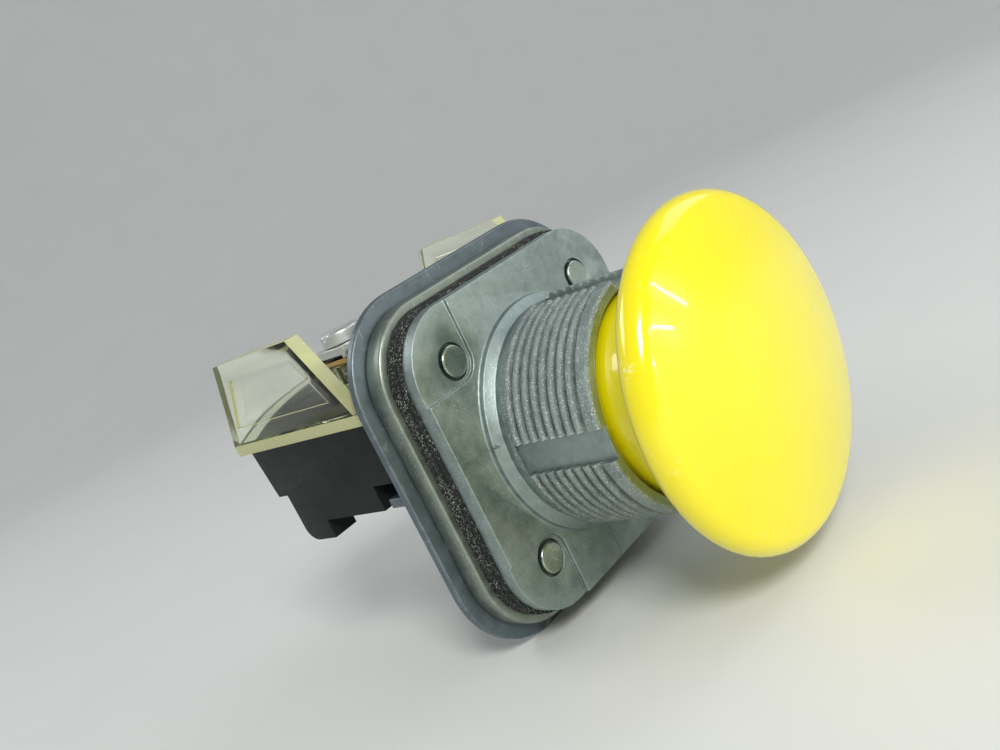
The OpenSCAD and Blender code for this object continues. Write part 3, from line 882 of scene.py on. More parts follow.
@dataclass(frozen=True)
class Composition(Finish):
    """Pressed gasket board: dark rubber with pale flecks and a fibrous edge."""

    base: Colour
    fleck: Colour

    def wire(self, sheet: Sheet, shader: bpy.types.Node, at: bpy.types.NodeSocket) -> None:
        """Joins flecks of two sizes, fibre and pits.

        Args:
            sheet: The material's sheet.
            shader: Its Principled BSDF.
            at: Object coordinates.
        """
        stretched = sheet.add("Mapping", {"Vector": at, "Scale": (1, 1.6, 1)}).outputs[0]
        small = sheet.use(
            EFFECTS.specks, {"Vector": stretched, "Scale": 4600.0, "Share": 0.45, "Size": 0.55}
        ).outputs[0]
        large = sheet.use(EFFECTS.specks, {"Vector": stretched, "Scale": 2300.0, "Share": 0.16, "Size": 0.42}).outputs[0]
        flecks = sheet.math("MAXIMUM", small, large)
        faded = sheet.math("MULTIPLY", flecks, sheet.fit(sheet.noise(at, 300, 5), 0.35, 0.62, 0.15, 1.0))
        colour = sheet.mix(faded, self.base, self.fleck)
        sheet.tree.links.new(colour, shader.inputs["Base Color"])
        rough = sheet.fit(faded, 0, 1, 0.75, 0.45)
        sheet.tree.links.new(rough, shader.inputs["Roughness"])
        pits = sheet.math("ADD", sheet.noise(at, 4200, 4), faded)
        self.bump(sheet, shader, pits, 0.7, 0.06 * MM)


CAST_ZINC = Metal(
    "cast_zinc_satin", "cast_zinc", shade(0.27, 0.34, 0.33), shade(0.39, 0.46, 0.44), shade(0.70, 0.78, 0.75),
    rough=0.46, grain=5200, grain_depth=0.06 * MM, grain_strength=0.6, painted_glint_share=0.04, wear=0.8, painted_shade=0.6,
    scratches=0.2,
)
# The thread's finish: deeper grain, more painted glints and more painted shade in its hollows.
THREAD_ZINC = Metal(
    "cast_zinc_with_painted_glints", "cast_zinc", shade(0.28, 0.34, 0.33), shade(0.42, 0.48, 0.46), shade(0.85, 0.90, 0.87),
    rough=0.44, grain=5600, grain_depth=0.16 * MM, grain_strength=0.95, painted_glint_share=0.2, wear=0.5, painted_shade=0.9,
    scratches=0.0,
)
HOUSING_ZINC = Metal(
    "housing_zinc", "cast_zinc", shade(0.27, 0.31, 0.27), shade(0.37, 0.41, 0.35), shade(0.70, 0.75, 0.70),
    rough=0.42, grain=4200, grain_depth=0.04 * MM, grain_strength=0.4, painted_glint_share=0.05, wear=0.9, painted_shade=0.5,
    scratches=0.35,
)
PLATE_STEEL = Metal(
    "blue_grey_plate", "sheet_steel", shade(0.12, 0.15, 0.167), shade(0.17, 0.21, 0.23), shade(0.62, 0.72, 0.76),
    rough=0.42, grain=4600, grain_depth=0.04 * MM, grain_strength=0.3, wear=1.0, painted_shade=0.35, scratches=0.3, metallic=0.8,
)
RIVET_STEEL = Metal(
    "rivet_steel", "plated_steel", shade(0.32, 0.40, 0.36), shade(0.44, 0.50, 0.43), shade(0.85, 0.9, 0.85),
    rough=0.27, grain=2200, grain_strength=0.22, wear=0.9, painted_shade=0.3, scratches=0.5,
)
PLATED_STEEL = Metal(
    "plated_steel", "plated_steel", shade(0.60, 0.61, 0.60), shade(0.72, 0.72, 0.70), shade(0.93, 0.93, 0.9),
    rough=0.26, grain=3000, grain_strength=0.15, wear=0.6, painted_shade=0.5, rings=900,
)
SPRING_STEEL = Metal(
    "spring_steel", "spring_steel", shade(0.42, 0.43, 0.44), shade(0.52, 0.53, 0.54), shade(0.85, 0.86, 0.87),
    rough=0.24, grain=2600, grain_strength=0.1, wear=0.2, painted_shade=0.2,
)
BRASS = Metal(
    "turned_brass", "brass", shade(0.72, 0.50, 0.20), shade(0.60, 0.40, 0.16), shade(0.95, 0.80, 0.50),
    rough=0.28, grain=3000, grain_strength=0.12, wear=0.6, painted_shade=0.5, rings=1100,
)
YELLOW_HEAD = Moulded(
    "yellow_head", "yellow_plastic", shade(0.95, 0.83, 0.002), shade(0.93, 0.79, 0.002), shade(0.98, 0.94, 0.45),
    rough=0.17, rough_spread=0.06, peel=300, peel_strength=0.03, dust=0.012, coat=0.7, painted_shade=0.35,
    dust_colour=(0.25, 0.2, 0.05, 1), scratches=0.25, glow=0.06,
    knock=(-0.0188, -0.0270, 0.0093),
)
BLACK_MOULDING = Moulded(
    "black_moulding", "black_phenolic", shade(0.008, 0.010, 0.010), shade(0.013, 0.015, 0.016), shade(0.10, 0.10, 0.10),
    rough=0.46, rough_spread=0.14, peel=2600, peel_strength=0.25, dust=0.03, painted_shade=0.0, scratches=0.12,
    sheen=0.25,
)
IVORY_MOULDING = Moulded(
    "ivory_moulding", "white_plastic", shade(0.80, 0.77, 0.66), shade(0.74, 0.70, 0.58), shade(0.9, 0.9, 0.85),
    rough=0.38, peel=900, dust=0.03, glow=0.1,
)
WHITE_MOULDING = Moulded(
    "natural_nylon", "white_plastic", shade(0.82, 0.81, 0.76), shade(0.76, 0.74, 0.68), shade(0.92, 0.92, 0.9),
    rough=0.36, peel=700, dust=0.02, glow=0.1,
)
SEAL_RUBBER = Moulded(
    "seal_rubber", "seal_rubber", shade(0.018, 0.018, 0.018), shade(0.03, 0.03, 0.03), shade(0.1, 0.1, 0.1),
    rough=0.6, peel=2400, peel_strength=0.3, dust=0.06, painted_shade=0.0,
)
GASKET_BOARD = Composition("gasket_board", "gasket_composition", shade(0.008, 0.009, 0.008), shade(0.42, 0.45, 0.40))
# Painted edge glow: a paler, less clear copy of the cover's plastic for the cover's outer edges.
COVER_PAINTED_GLOW = Clear(
    "cover_painted_glow", "clear_plastic", shade(0.96, 0.97, 0.50), shade(0.70, 0.86, 0.18), rough=0.2, transmission=0.5
)
CLEAR_COVER = Clear("clear_cover", "clear_plastic", shade(0.97, 0.985, 0.90), shade(0.70, 0.86, 0.18))


def place(piece: bpy.types.Object, body: str, finish: Finish, *nodes: str) -> bpy.types.Object:
    """Dresses a new piece, sets it on its body and hides the CAD nodes that it replaces.

    Args:
        piece: The finished piece.
        body: The CAD body that it rides on.
        finish: Its finish.
        *nodes: The CAD nodes that it replaces.

    Returns:
        The same piece.
    """
    finish.dress(piece)
    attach(piece, body)
    if nodes:
        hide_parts(*nodes)
    log.info("%s rides on %s, %d faces", piece.name, body, len(piece.data.polygons))
    return piece


# ---------------------------------------------------------------------------------- pieces


@dataclass
class MushroomHead:
    """The yellow head: dome, rounded rim, hollow flare and skirt, on its hub."""

    rim: float = 2.4
    dome: float = 70.0
    under: float = 53.0
    skirt_radius: float = 12.9
    skirt_wall: float = 1.8
    flare_start: float = -21.88
    hub_radius: float = 6.3
    hub_end: float = -18.8
    insert_radius: float = 4.3
    insert_depth: float = 6.5
    seal_at: float = -12.9
    seal_width: float = 1.4
    seal_depth: float = 1.0
    roof: float = 3.2
    mouth: float = 0.3

    def outline(self) -> list[Point]:
        """The head's outer section, from the skirt's mouth to the middle of the dome."""
        low, high = span("mushroom_head")
        radius, front, back = high.x, low.y, high.y
        dome_y = front + self.dome
        edge = math.degrees(math.acos((radius - self.rim) / (self.dome - self.rim)))
        rim_y = dome_y - (self.dome - self.rim) * math.sin(math.radians(edge))
        meet = math.radians(self.under)
        meet_r = radius - self.rim * (1 - math.cos(meet))
        meet_y = rim_y + self.rim * math.sin(meet)
        points = [(self.skirt_radius - self.mouth, back), (self.skirt_radius, back - self.mouth)]
        seal_back, seal_front = self.seal_at, self.seal_at - self.seal_width
        groove = self.skirt_radius - self.seal_depth
        points += [(self.skirt_radius, seal_back), (groove, seal_back)]
        points += [(groove, seal_front), (self.skirt_radius, seal_front)]
        steps = 20
        for i in range(steps):
            t = math.pi / 2 * i / steps
            flare_r = self.skirt_radius + (meet_r - self.skirt_radius) * (1 - math.cos(t))
            points.append((flare_r, self.flare_start + (meet_y - self.flare_start) * math.sin(t)))
        points += arc((radius - self.rim, rim_y), self.rim, self.under, -edge, 22)
        points += arc((0, dome_y), self.dome, -edge, -90, 26)[1:]
        return points

    def hollow(self) -> list[Point]:
        """The inside, from the hub's middle out to the skirt's mouth."""
        low, high = span("mushroom_head")
        inner = self.skirt_radius - self.skirt_wall
        ceiling = low.y + self.roof
        insert_end = self.hub_end - self.insert_depth
        deep = self.flare_start - 1.5
        wide = inner + 3
        return [
            (0, insert_end),
            (self.insert_radius, insert_end),
            (self.insert_radius, self.hub_end),
            (self.hub_radius - self.mouth, self.hub_end),
            (self.hub_radius, self.hub_end - self.mouth),
            (self.hub_radius, ceiling + 0.6),
            (self.hub_radius + 0.6, ceiling),
            (wide - 1.4, ceiling),
            (wide - 0.5, ceiling + 0.8),
            (wide, -26.3),
            (inner, deep),
            (inner, high.y - self.mouth),
            (inner + self.mouth, high.y),
        ]

    def build(self) -> None:
        """Turns the head, and makes its insert and seal."""
        head = turned("head_cap", self.outline()[::-1] + self.hollow()[::-1], steps=144, closed=False)
        place(smoothed(head, 40), "head", YELLOW_HEAD, "mushroom_head")
        low, high = span("head_insert")
        thread = self.insert_thread(high.x, low.y, high.y)
        place(thread, "head", BRASS, "head_insert")
        low, high = span("skirt_seal")
        middle, half = (low.y + high.y) / 2, (high.y - low.y) / 2
        inner = self.skirt_radius - self.seal_depth
        ring = [(inner, low.y), (inner + 0.5, low.y)]
        ring += arc((high.x - half * 0.8, middle), half * 0.8, -75, 75, 9)
        ring += [(inner + 0.5, high.y), (inner, high.y)]
        place(turned("skirt_wiper_ring", ring), "head", SEAL_RUBBER, "skirt_seal")

    def insert_thread(self, outer: float, start: float, end: float) -> bpy.types.Object:
        """A brass insert with a knurl groove outside and thread ridges inside.

        Args:
            outer: Its outside radius in millimetres.
            start: Its lower y.
            end: Its higher y.

        Returns:
            The insert.
        """
        bore, pitch, ridge = 2.9, 0.8, 0.22
        count = int((end - start) / pitch) - 1
        outside = [(outer, start + 0.2), (outer, -23.2), (outer - 0.35, -23.0), (outer - 0.35, -22.2), (outer, -22.0)]
        outside += [(outer, end - 0.2), (outer - 0.2, end)]
        inside = [(bore + ridge + 0.15, end)]
        for i in range(count):
            y = end - 0.3 - i * pitch
            inside += [(bore + ridge, y), (bore, y - pitch / 2)]
        return turned("head_thread_insert", [(outer - 0.2, start), *outside, *inside, (bore + ridge, start)])


@dataclass
class Bushing:
    """The die-cast front: square flange, collar, helical panel thread, keyways and guide."""

    corner: float = 8.5
    flange: float = 2.4
    collar: float = 15.65
    collar_height: float = 0.9
    thread_radius: float = 15.1
    depth: float = 0.65
    pitch: float = 1.41
    turns: int = 8
    crest_share: float = 0.97
    crest_flatness: float = 2.6
    sunk: float = 0.07
    relief_end: float = -2.4
    first_crest: float = -3.175
    lip: float = -14.78
    bevel: float = 0.5
    bore: float = 13.2
    web: float = -7.5
    web_thickness: float = 4.5
    cavity: float = 12.3
    stem: float = 6.05
    sleeve: float = 8.2
    sleeve_end: float = 2.5
    seal_radius: float = 7.5
    seal_start: float = -5.9
    seal_width: float = 1.5
    key_half: float = 2.05
    key_depth: float = 1.0
    rivet: float = 13.8
    ring: float = 2.35
    ring_depth: float = 1.1
    shank: float = 1.27
    pad: float = 2.85
    pad_depth: float = 0.5

    def pad_cutter(self, quarter: int) -> bpy.types.Object:
        """The sunken pad of one corner: round at the rivet, open to two edges.

        Args:
            quarter: Which corner, 0 to 3.

        Returns:
            The cutter.
        """
        far = 2 * self.collar
        turn = Matrix.Rotation(quarter * math.pi / 2, 3, "Y")
        centre = Vector((self.rivet, 0, self.rivet))
        points = [Vector((-self.pad, 0, far)), Vector((-self.pad, 0, 0))]
        for i in range(1, 12):
            a = math.radians(180 + 90 * i / 12)
            points.append(Vector((self.pad * math.cos(a), 0, self.pad * math.sin(a))))
        points += [Vector((0, 0, -self.pad)), Vector((far, 0, -self.pad)), Vector((far, 0, far))]
        lead = Vector((0, -1, 0))
        outline = [(turn @ (centre + p + lead)) * MM for p in points]
        return pulled("pad_cutter", outline, Vector((0, (1 + self.pad_depth) * MM, 0)))

    def flange_slab(self, half: float) -> bpy.types.Object:
        """The square flange with its pads and rivet rings, edges rounded.

        Args:
            half: Half of its side in millimetres.

        Returns:
            The slab.
        """
        slab = rounded_slab("casting", half, self.corner, 0, self.flange)
        for quarter in range(4):
            shaped(slab, Join.CUT, self.pad_cutter(quarter))
        for sx in (-1, 1):
            for sz in (-1, 1):
                x, z = sx * self.rivet, sz * self.rivet
                shaped(slab, Join.CUT, rod(self.ring, -1, self.ring_depth, x, z))
        softened(slab, 0.12 * MM, 3, 40)
        for sx in (-1, 1):
            for sz in (-1, 1):
                shaped(slab, Join.CUT, rod(self.shank, -1, self.flange + 1, sx * self.rivet, sz * self.rivet))
        return slab

    def barrel(self, front: float) -> bpy.types.Object:
        """The barrel with its bore: collar, relief, core and plain lip.

        Args:
            front: The bushing's front y in millimetres.

        Returns:
            The barrel.
        """
        root = self.thread_radius - self.depth
        relief = self.relief_radius
        top = -self.collar_height
        section = [(0, 1.2), (self.collar, 1.2)]
        section += [(self.collar + 0.22, 0.0), (self.collar + 0.08, -0.1), (self.collar, -0.3)]
        section += arc((self.collar - 0.25, top + 0.25), 0.25, 0, -60, 5)
        section += [(relief + 0.12, top - 0.45), (relief, top - 0.62), (relief, self.relief_end)]
        section += [(root, self.relief_end - 0.1), (root, self.lip)]
        section += [(root + 0.12, self.lip - 0.12), (self.thread_radius - 0.1, self.lip - 0.4)]
        section += [(self.thread_radius, self.lip - 0.52), (self.thread_radius, front + self.bevel + 0.1)]
        section += arc((self.thread_radius - self.bevel, front + self.bevel), self.bevel, -8, -90, 6)
        section += [(self.bore + self.bevel, front), (self.bore, front + self.bevel)]
        section += [(self.bore, self.web - 0.3), (self.bore - 0.3, self.web), (0, self.web)]
        return turned("barrel", section, steps=128, closed=False)

    def guide(self) -> bpy.types.Object:
        """The cutter of the stem's guide hole with its seal groove."""
        seal_end = self.seal_start + self.seal_width
        section = [(0, self.web - 1), (self.stem, self.web - 1), (self.stem, self.seal_start)]
        section += [(self.seal_radius, self.seal_start), (self.seal_radius, seal_end), (self.stem, seal_end)]
        section += [(self.stem, self.flange + 1), (0, self.flange + 1)]
        return turned("guide", section, closed=False)

    def parting_lines(self) -> list[bpy.types.Object]:
        """Fine raised lines where the mould halves met, at the left and underneath."""
        half, offset, proud = 0.08, -2.45, 0.07
        lines = []
        for turn in (math.pi, math.pi / 2):
            for inner, outer, front in (
                (self.collar - 0.2, 20.62, -proud),
                (self.relief_radius - 0.2, self.collar + 0.03, -self.collar_height - proud),
            ):
                line = brick((inner, front, offset - half), (outer, front + 0.4, offset + half))
                line.rotation_euler = (0, turn, 0)
                lines.append(settled(line))
        return lines

    @property
    def relief_radius(self) -> float:
        """Radius of the undercut behind the thread."""
        return self.thread_radius - self.depth - 0.15

    def thread(self) -> bpy.types.Object:
        """A helical ridge with rounded crests. Its ends lie in the keyway on the +X side."""
        root = self.thread_radius - self.depth
        half = self.pitch * self.crest_share / 2
        count = 7
        section = [(root - 0.3, half)]
        for i in range(-count, count + 1):
            rise = 1 - abs(i / count) ** self.crest_flatness
            section.append((root - self.sunk + (self.depth + self.sunk) * rise, -half * i / count))
        section.append((root - 0.3, -half))
        points = [Vector((r, y + self.first_crest, 0)) * MM for r, y in section]
        ridge = drawn("thread", points)
        modified(
            ridge, "SCREW", axis="Y", angle=FULL_TURN, iterations=self.turns,
            screw_offset=-self.pitch * MM, steps=96, render_steps=96, use_merge_vertices=False,
        )
        with editing(ridge):
            bpy.ops.mesh.remove_doubles(threshold=WELD)
            bpy.ops.mesh.select_all(action="SELECT")
            bpy.ops.mesh.fill_holes(sides=0)
            bpy.ops.mesh.select_all(action="SELECT")
            bpy.ops.mesh.normals_make_consistent(inside=False)
        return ridge

    def build(self) -> None:
        """Joins flange, barrel and thread, then bores and keys them."""
        low, high = span("bushing_casting")
        casting = self.flange_slab(high.x)
        shaped(casting, Join.ADD, self.barrel(low.y), self.thread())
        back = self.web + self.web_thickness
        ring = [(self.sleeve, back + 0.3), (self.sleeve + 0.3, back), (self.cavity - 0.3, back), (self.cavity, back + 0.3)]
        ring += [(self.cavity, self.flange + 1), (self.sleeve, self.flange + 1)]
        shaped(casting, Join.CUT, turned("cavity", ring))
        shaped(casting, Join.CUT, self.guide())
        floor, rear = self.thread_radius - self.key_depth, -3.03
        for quarter in range(4):
            key = brick((floor, low.y - 1, -self.key_half), (self.collar + 1, rear, self.key_half))
            key.rotation_euler = (0, quarter * math.pi / 2, 0)
            shaped(casting, Join.CUT, settled(key))
        shaped(casting, Join.ADD, *self.parting_lines())
        with editing(casting):
            bpy.ops.mesh.remove_doubles(threshold=WELD)
        casting.name = "front_casting"
        smoothed(casting, 40)
        place(casting, "operator_body", CAST_ZINC, "bushing_casting")
        casting.data.materials.append(THREAD_ZINC.material())
        self.mark_thread(casting)

    def mark_thread(self, casting: bpy.types.Object) -> None:
        """Gives the barrel's outside the thread finish, with more painted glints.

        Args:
            casting: The finished casting.
        """
        limit = (self.thread_radius - self.key_depth + 0.05) * MM
        for face in casting.data.polygons:
            reach = math.hypot(face.center.x, face.center.z)
            if face.center.y < self.relief_end * MM and reach > limit:
                face.material_index = 1


@dataclass
class Stack:
    """Gasket, rear housing and back plate, with the rivets that hold them."""

    corner: float = 8.5
    flange_half: float = 20.8
    rivet: float = 13.8
    rivet_head: float = 2.0
    rivet_head_height: float = 1.0
    rivet_shank: float = 1.25
    rivet_tail: float = 2.15
    screw_hole: float = 1.6
    screw_x: float = 17.0
    screw_z: float = 7.7
    hole: float = 12.3
    plate: float = 1.2

    def holed(self, slab: bpy.types.Object, hole: float, start: float, end: float, screws: bool) -> bpy.types.Object:
        """Cuts the middle hole, the rivets' holes and the block screws' holes.

        Args:
            slab: The slab.
            hole: Radius of the middle hole.
            start: Its lower y.
            end: Its higher y.
            screws: Whether the block's screws pass it.

        Returns:
            The same slab.
        """
        shaped(slab, Join.CUT, rod(hole, start - 1, end + 1, steps=96))
        for sx in (-1, 1):
            for sz in (-1, 1):
                shaped(slab, Join.CUT, rod(self.rivet_shank + 0.01, start - 1, end + 1, sx * self.rivet, sz * self.rivet, 32))
                if screws:
                    shaped(slab, Join.CUT, rod(self.screw_hole, start - 1, end + 1, sx * self.screw_x, sz * self.screw_z, 32))
        return slab

    def gasket(self) -> None:
        """Pressed board in two layers, with a fine line between them."""
        low, high = span("gasket")
        half, step = high.x, high.x - self.flange_half
        line = low.y + 0.62
        board = rounded_slab("gasket_board_ring", half, self.corner + step, low.y, high.y)
        self.holed(board, self.hole + 0.3, low.y, high.y, False)
        groove = rounded_slab("groove", half + 1, self.corner + step + 1, line - 0.06, line + 0.06)
        core = rounded_slab("core", half - 0.22, self.corner + step - 0.22, line - 1, line + 1)
        shaped(groove, Join.CUT, core)
        shaped(board, Join.CUT, groove)
        front = rounded_slab("front", half + 1, self.corner + step + 1, low.y - 1, line)
        core = rounded_slab("core", half - 0.16, self.corner + step - 0.16, low.y - 2, line + 1)
        shaped(front, Join.CUT, core)
        shaped(board, Join.CUT, front)
        place(softened(board, 0.05 * MM, 2), "operator_body", GASKET_BOARD, "gasket")

    def housing(self) -> None:
        """The rear casting, with a generous rounding on its front edge."""
        low, high = span("rear_housing")
        step = high.x - self.flange_half
        slab = rounded_slab("rear_casting", high.x, self.corner + step, low.y, high.y)
        softened(slab, 0.35 * MM, 4)
        self.holed(slab, self.hole, low.y, high.y, True)
        place(smoothed(slab), "operator_body", HOUSING_ZINC, "rear_housing")

    def back_plate(self) -> None:
        """Sheet plate with rolled edges and the two tabs that locate the block."""
        low, high = span("back_plate")
        step = high.x - self.flange_half
        back = low.y + self.plate
        slab = rounded_slab("stamped_plate", high.x, self.corner + step, low.y, back)
        softened(slab, 0.3 * MM, 4)
        self.holed(slab, self.hole, low.y, back, True)
        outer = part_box("block_base")[1].x / MM
        for side in (-1, 1):
            ends = sorted((side * (outer - 3), side * outer))
            tab = brick((ends[0], back - self.plate / 2, 0.1), (ends[1], high.y, 1.4))
            shaped(slab, Join.ADD, softened(tab, 0.2 * MM, 3))
        place(smoothed(slab), "operator_body", PLATE_STEEL, "back_plate")

    def rivets(self) -> None:
        """Four rivets: a low head in front, a spread tail behind."""
        low, high = span("rivets")
        under = low.y + self.rivet_head_height
        tail = high.y - 0.8
        r = self.rivet_head
        section = [(0, low.y), (r * 0.55, low.y), (r * 0.8, low.y + 0.02)]
        section += arc((r - 0.22, low.y + 0.25), 0.22, -80, 0, 5)
        section += [(r, under), (self.rivet_shank, under), (self.rivet_shank, tail), (self.rivet_tail, tail)]
        section += arc((self.rivet_tail - 0.35, high.y - 0.35), 0.35, 0, 75, 5)
        section += [(self.rivet_tail - 0.7, high.y - 0.05), (0.7, high.y - 0.1), (0, high.y - 0.35)]
        rivet = turned("rivet", section, steps=48, closed=False)
        corners = [(sx, sz) for sx in (-1, 1) for sz in (-1, 1)]
        spots = [Vector((sx * self.rivet, 0, sz * self.rivet)) * MM for sx, sz in corners]
        for piece in copies(rivet, [f"rivet_{i + 1}" for i in range(4)], spots):
            place(smoothed(piece, 30), "operator_body", RIVET_STEEL, "rivets")

    def build(self) -> None:
        """Builds the gasket, housing, plate and rivets."""
        self.gasket()
        self.housing()
        self.back_plate()
        self.rivets()


@dataclass
class CoilSpring:
    """A spring of round wire along Y with one closed coil at each end."""

    node: str
    name: str
    body: str
    joint: str
    active: int
    wire: float
    anchor_low: bool
    stays: bool = False

    def build(self, stroke: float) -> None:
        """Winds the spring.

        Args:
            stroke: Not used.
        """
        low, high = span(self.node)
        centre_z = (low.z + high.z) / 2
        mean = (high.x - low.x) / 2 - self.wire / 2
        closed = self.wire * 1.03
        first = low.y + self.wire / 2
        length = high.y - low.y - self.wire - 2 * closed
        parts = []
        for start, rise, turns in (
            (first, closed, 1),
            (first + closed, length / self.active, self.active),
            (first + closed + length, closed, 1),
        ):
            bpy.ops.object.select_all(action="DESELECT")
            bpy.ops.mesh.primitive_circle_add(
                vertices=14, radius=self.wire / 2 * MM, location=(mean * MM, start * MM, 0)
            )
            coil = settled(bpy.context.object)
            modified(
                coil, "SCREW", axis="Y", angle=FULL_TURN, iterations=turns, screw_offset=rise * MM,
                steps=40, render_steps=40, use_merge_vertices=False,
            )
            parts.append(coil)
        take(parts[0])
        for part in parts[1:]:
            part.select_set(True)
        bpy.ops.object.join()
        spring = parts[0]
        spring.name = self.name
        with editing(spring):
            bpy.ops.mesh.remove_doubles(threshold=WELD)
            bpy.ops.mesh.select_all(action="SELECT")
            bpy.ops.mesh.fill_holes(sides=0)
            bpy.ops.mesh.select_all(action="SELECT")
            bpy.ops.mesh.normals_make_consistent(inside=False)
        spring.location = ((low.x + high.x) / 2 * MM, 0, centre_z * MM)
        settled(spring)
        place(smoothed(spring), self.body, SPRING_STEEL, self.node)
        if not self.stays:
            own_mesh(spring)


@dataclass
class Screw:
    """A slotted screw with a rounded head and ridged shank, turned along Y or Z."""

    name: str
    head_radius: float
    head_height: float
    shank_radius: float
    length: float
    slot_width: float = 0.9
    slot_depth: float = 0.9
    pitch: float = 0.6

    def model(self) -> bpy.types.Object:
        """The screw with its head's underside at the origin, head towards +Y, slot along X."""
        r, h = self.head_radius, self.head_height
        head = [(0, h), (r * 0.6, h - 0.03)]
        head += arc((r - 0.45, h - 0.5), 0.45, 80, 5, 6)
        head += [(r, 0.15), (r - 0.15, 0), (self.shank_radius, 0)]
        ridges = []
        count = int((self.length - 1) / self.pitch)
        for i in range(count):
            y = -0.8 - i * self.pitch
            ridges += [(self.shank_radius, y), (self.shank_radius - 0.22, y - self.pitch / 2)]
        tip = [(self.shank_radius - 0.3, -self.length), (0, -self.length)]
        screw = turned(self.name, head + ridges + tip, steps=48, closed=False)
        half = self.slot_width / 2
        slot = brick((-r - 1, h - self.slot_depth, -half), (r + 1, h + 1, half))
        shaped(screw, Join.CUT, slot)
        modified(
            screw, "BEVEL", width=0.05 * MM, segments=2, limit_method="ANGLE", angle_limit=math.radians(60)
        )
        return smoothed(screw, 35)

    def stood_up(self) -> bpy.types.Object:
        """The same screw with its head towards +Z and its slot along X."""
        screw = self.model()
        screw.rotation_euler = (math.pi / 2, 0, 0)
        return settled(screw)


@dataclass
class Plunger:
    """What moves with the head behind it: stem, washer, spring, disc and screw."""

    travel: float

    def build(self) -> None:
        """Builds the stem's parts and the seal in the guide."""
        low, high = span("spring_washer")
        washer = worked_copy("spring_washer", "spring_seat_washer", 0.12 * MM)
        place(washer, "head", PLATED_STEEL, "spring_washer")
        CoilSpring("return_spring", "head_return_spring", "head", "head_press", 3, 1.1, True).build(self.travel)
        stem = worked_copy("plunger_stem", "stem", 0.2 * MM, 3)
        place(stem, "head", WHITE_MOULDING, "plunger_stem")
        disc = worked_copy("actuator_disc", "push_disc", 0.25 * MM, 3)
        place(disc, "head", WHITE_MOULDING, "actuator_disc")
        place(worked_copy("disc_screw", "disc_fixing_screw", 0.06 * MM), "head", PLATED_STEEL, "disc_screw")
        place(worked_copy("stem_seal", "stem_seal_ring", 0.3 * MM, 4), "operator_body", SEAL_RUBBER, "stem_seal")


@dataclass
class ContactBlock:
    """The black block with its clear cover, terminals and moving contacts."""

    travel: float
    nc_stroke: float
    no_stroke: float

    def shells(self) -> None:
        """The moulded base and the clear cover."""
        base = worked_copy("block_base", "block_moulding", 0.28 * MM, 3)
        place(base, "operator_body", BLACK_MOULDING, "block_base")
        cover = worked_copy("terminal_cover", "clear_terminal_cover", 0.22 * MM, 3)
        place(cover, "operator_body", CLEAR_COVER, "terminal_cover")
        self.paint_edge_glow(cover)

    def paint_edge_glow(self, cover: bpy.types.Object) -> None:
        """Paints the glow at the cover's narrow outer edges: they get a paler, less clear copy of the cover's finish.

        Args:
            cover: The finished cover.
        """
        # The edge faces get the paler copy, which paints the light that the edges gather.
        cover.data.materials.append(COVER_PAINTED_GLOW.material())
        floor_low, floor_high = 11.5 * MM, 13.0 * MM
        fin_inner = 20.8 * MM
        with editing(cover, "FACE"):
            bpy.ops.mesh.bisect(plane_co=(0, 0, floor_high), plane_no=(0, 0, 1))
        for face in cover.data.polygons:
            flat = abs(face.normal.z) < 0.6
            on_floor = floor_low < face.center.z < floor_high and flat
            on_fin = abs(face.center.x) > fin_inner and face.center.z > floor_high and abs(face.normal.x) < 0.3
            if on_floor or on_fin:
                face.material_index = 1

    def terminals(self) -> None:
        """Saddles, fixed strips, terminal screws and the block's own screws."""
        place(worked_copy("terminal_saddles", "saddle_clamps", 0.15 * MM), "operator_body", PLATED_STEEL, "terminal_saddles")
        for kind in ("nc", "no"):
            node = f"fixed_contacts_{kind}"
            place(worked_copy(node, f"contact_strips_{kind}", 0.08 * MM), "operator_body", BRASS, node)
        for number in range(1, 5):
            node = f"terminal_screw_{number}"
            low, high = span(node)
            head_height, head_radius = 1.9, (high.x - low.x) / 2
            under = high.z - head_height
            screw = Screw(f"terminal_screw_body_{number}", head_radius, head_height, 1.6, under - low.z).stood_up()
            screw.location = ((low.x + high.x) / 2 * MM, (low.y + high.y) / 2 * MM, under * MM)
            place(settled(screw), f"screw_{number}", PLATED_STEEL, node)
        low, high = span("block_screws")
        head_radius, head_height = 2.9, 2.2
        under = high.y - head_height
        for number, side in ((1, -1), (2, 1)):
            screw = Screw(f"block_screw_{number}", head_radius, head_height, 1.6, under - low.y).model()
            screw.location = (side * (high.x - head_radius) * MM, under * MM, (low.z + high.z) / 2 * MM)
            place(settled(screw), "operator_body", PLATED_STEEL, "block_screws")
        washers = worked_copy("block_screw_washers", "block_washers", 0.1 * MM)
        place(washers, "operator_body", PLATED_STEEL, "block_screw_washers")

    def moving(self) -> None:
        """Carriage, bridges and their springs."""
        place(worked_copy("block_carriage", "contact_carriage", 0.2 * MM, 3), "carriage", IVORY_MOULDING, "block_carriage")
        place(worked_copy("bridge_nc", "closed_contact_bridge", 0.08 * MM), "nc_contact", BRASS, "bridge_nc")
        place(worked_copy("bridge_no", "open_contact_bridge", 0.08 * MM), "no_contact", BRASS, "bridge_no")
        CoilSpring("carriage_spring", "carriage_return_spring", "carriage", "carriage_slide", 4, 0.35, True).build(self.travel)
        CoilSpring("spring_nc", "closed_contact_spring", "nc_contact", "nc_bridge_slide", 2, 0.35, True, True).build(0)
        CoilSpring("spring_no", "open_contact_spring", "no_contact", "no_bridge_slide", 4, 0.35, False).build(
            self.travel - self.no_stroke
        )

    def build(self) -> None:
        """Builds the block from the outside in."""
        self.shells()
        self.terminals()
        self.moving()


# ---------------------------------------------------------------------------------- studio


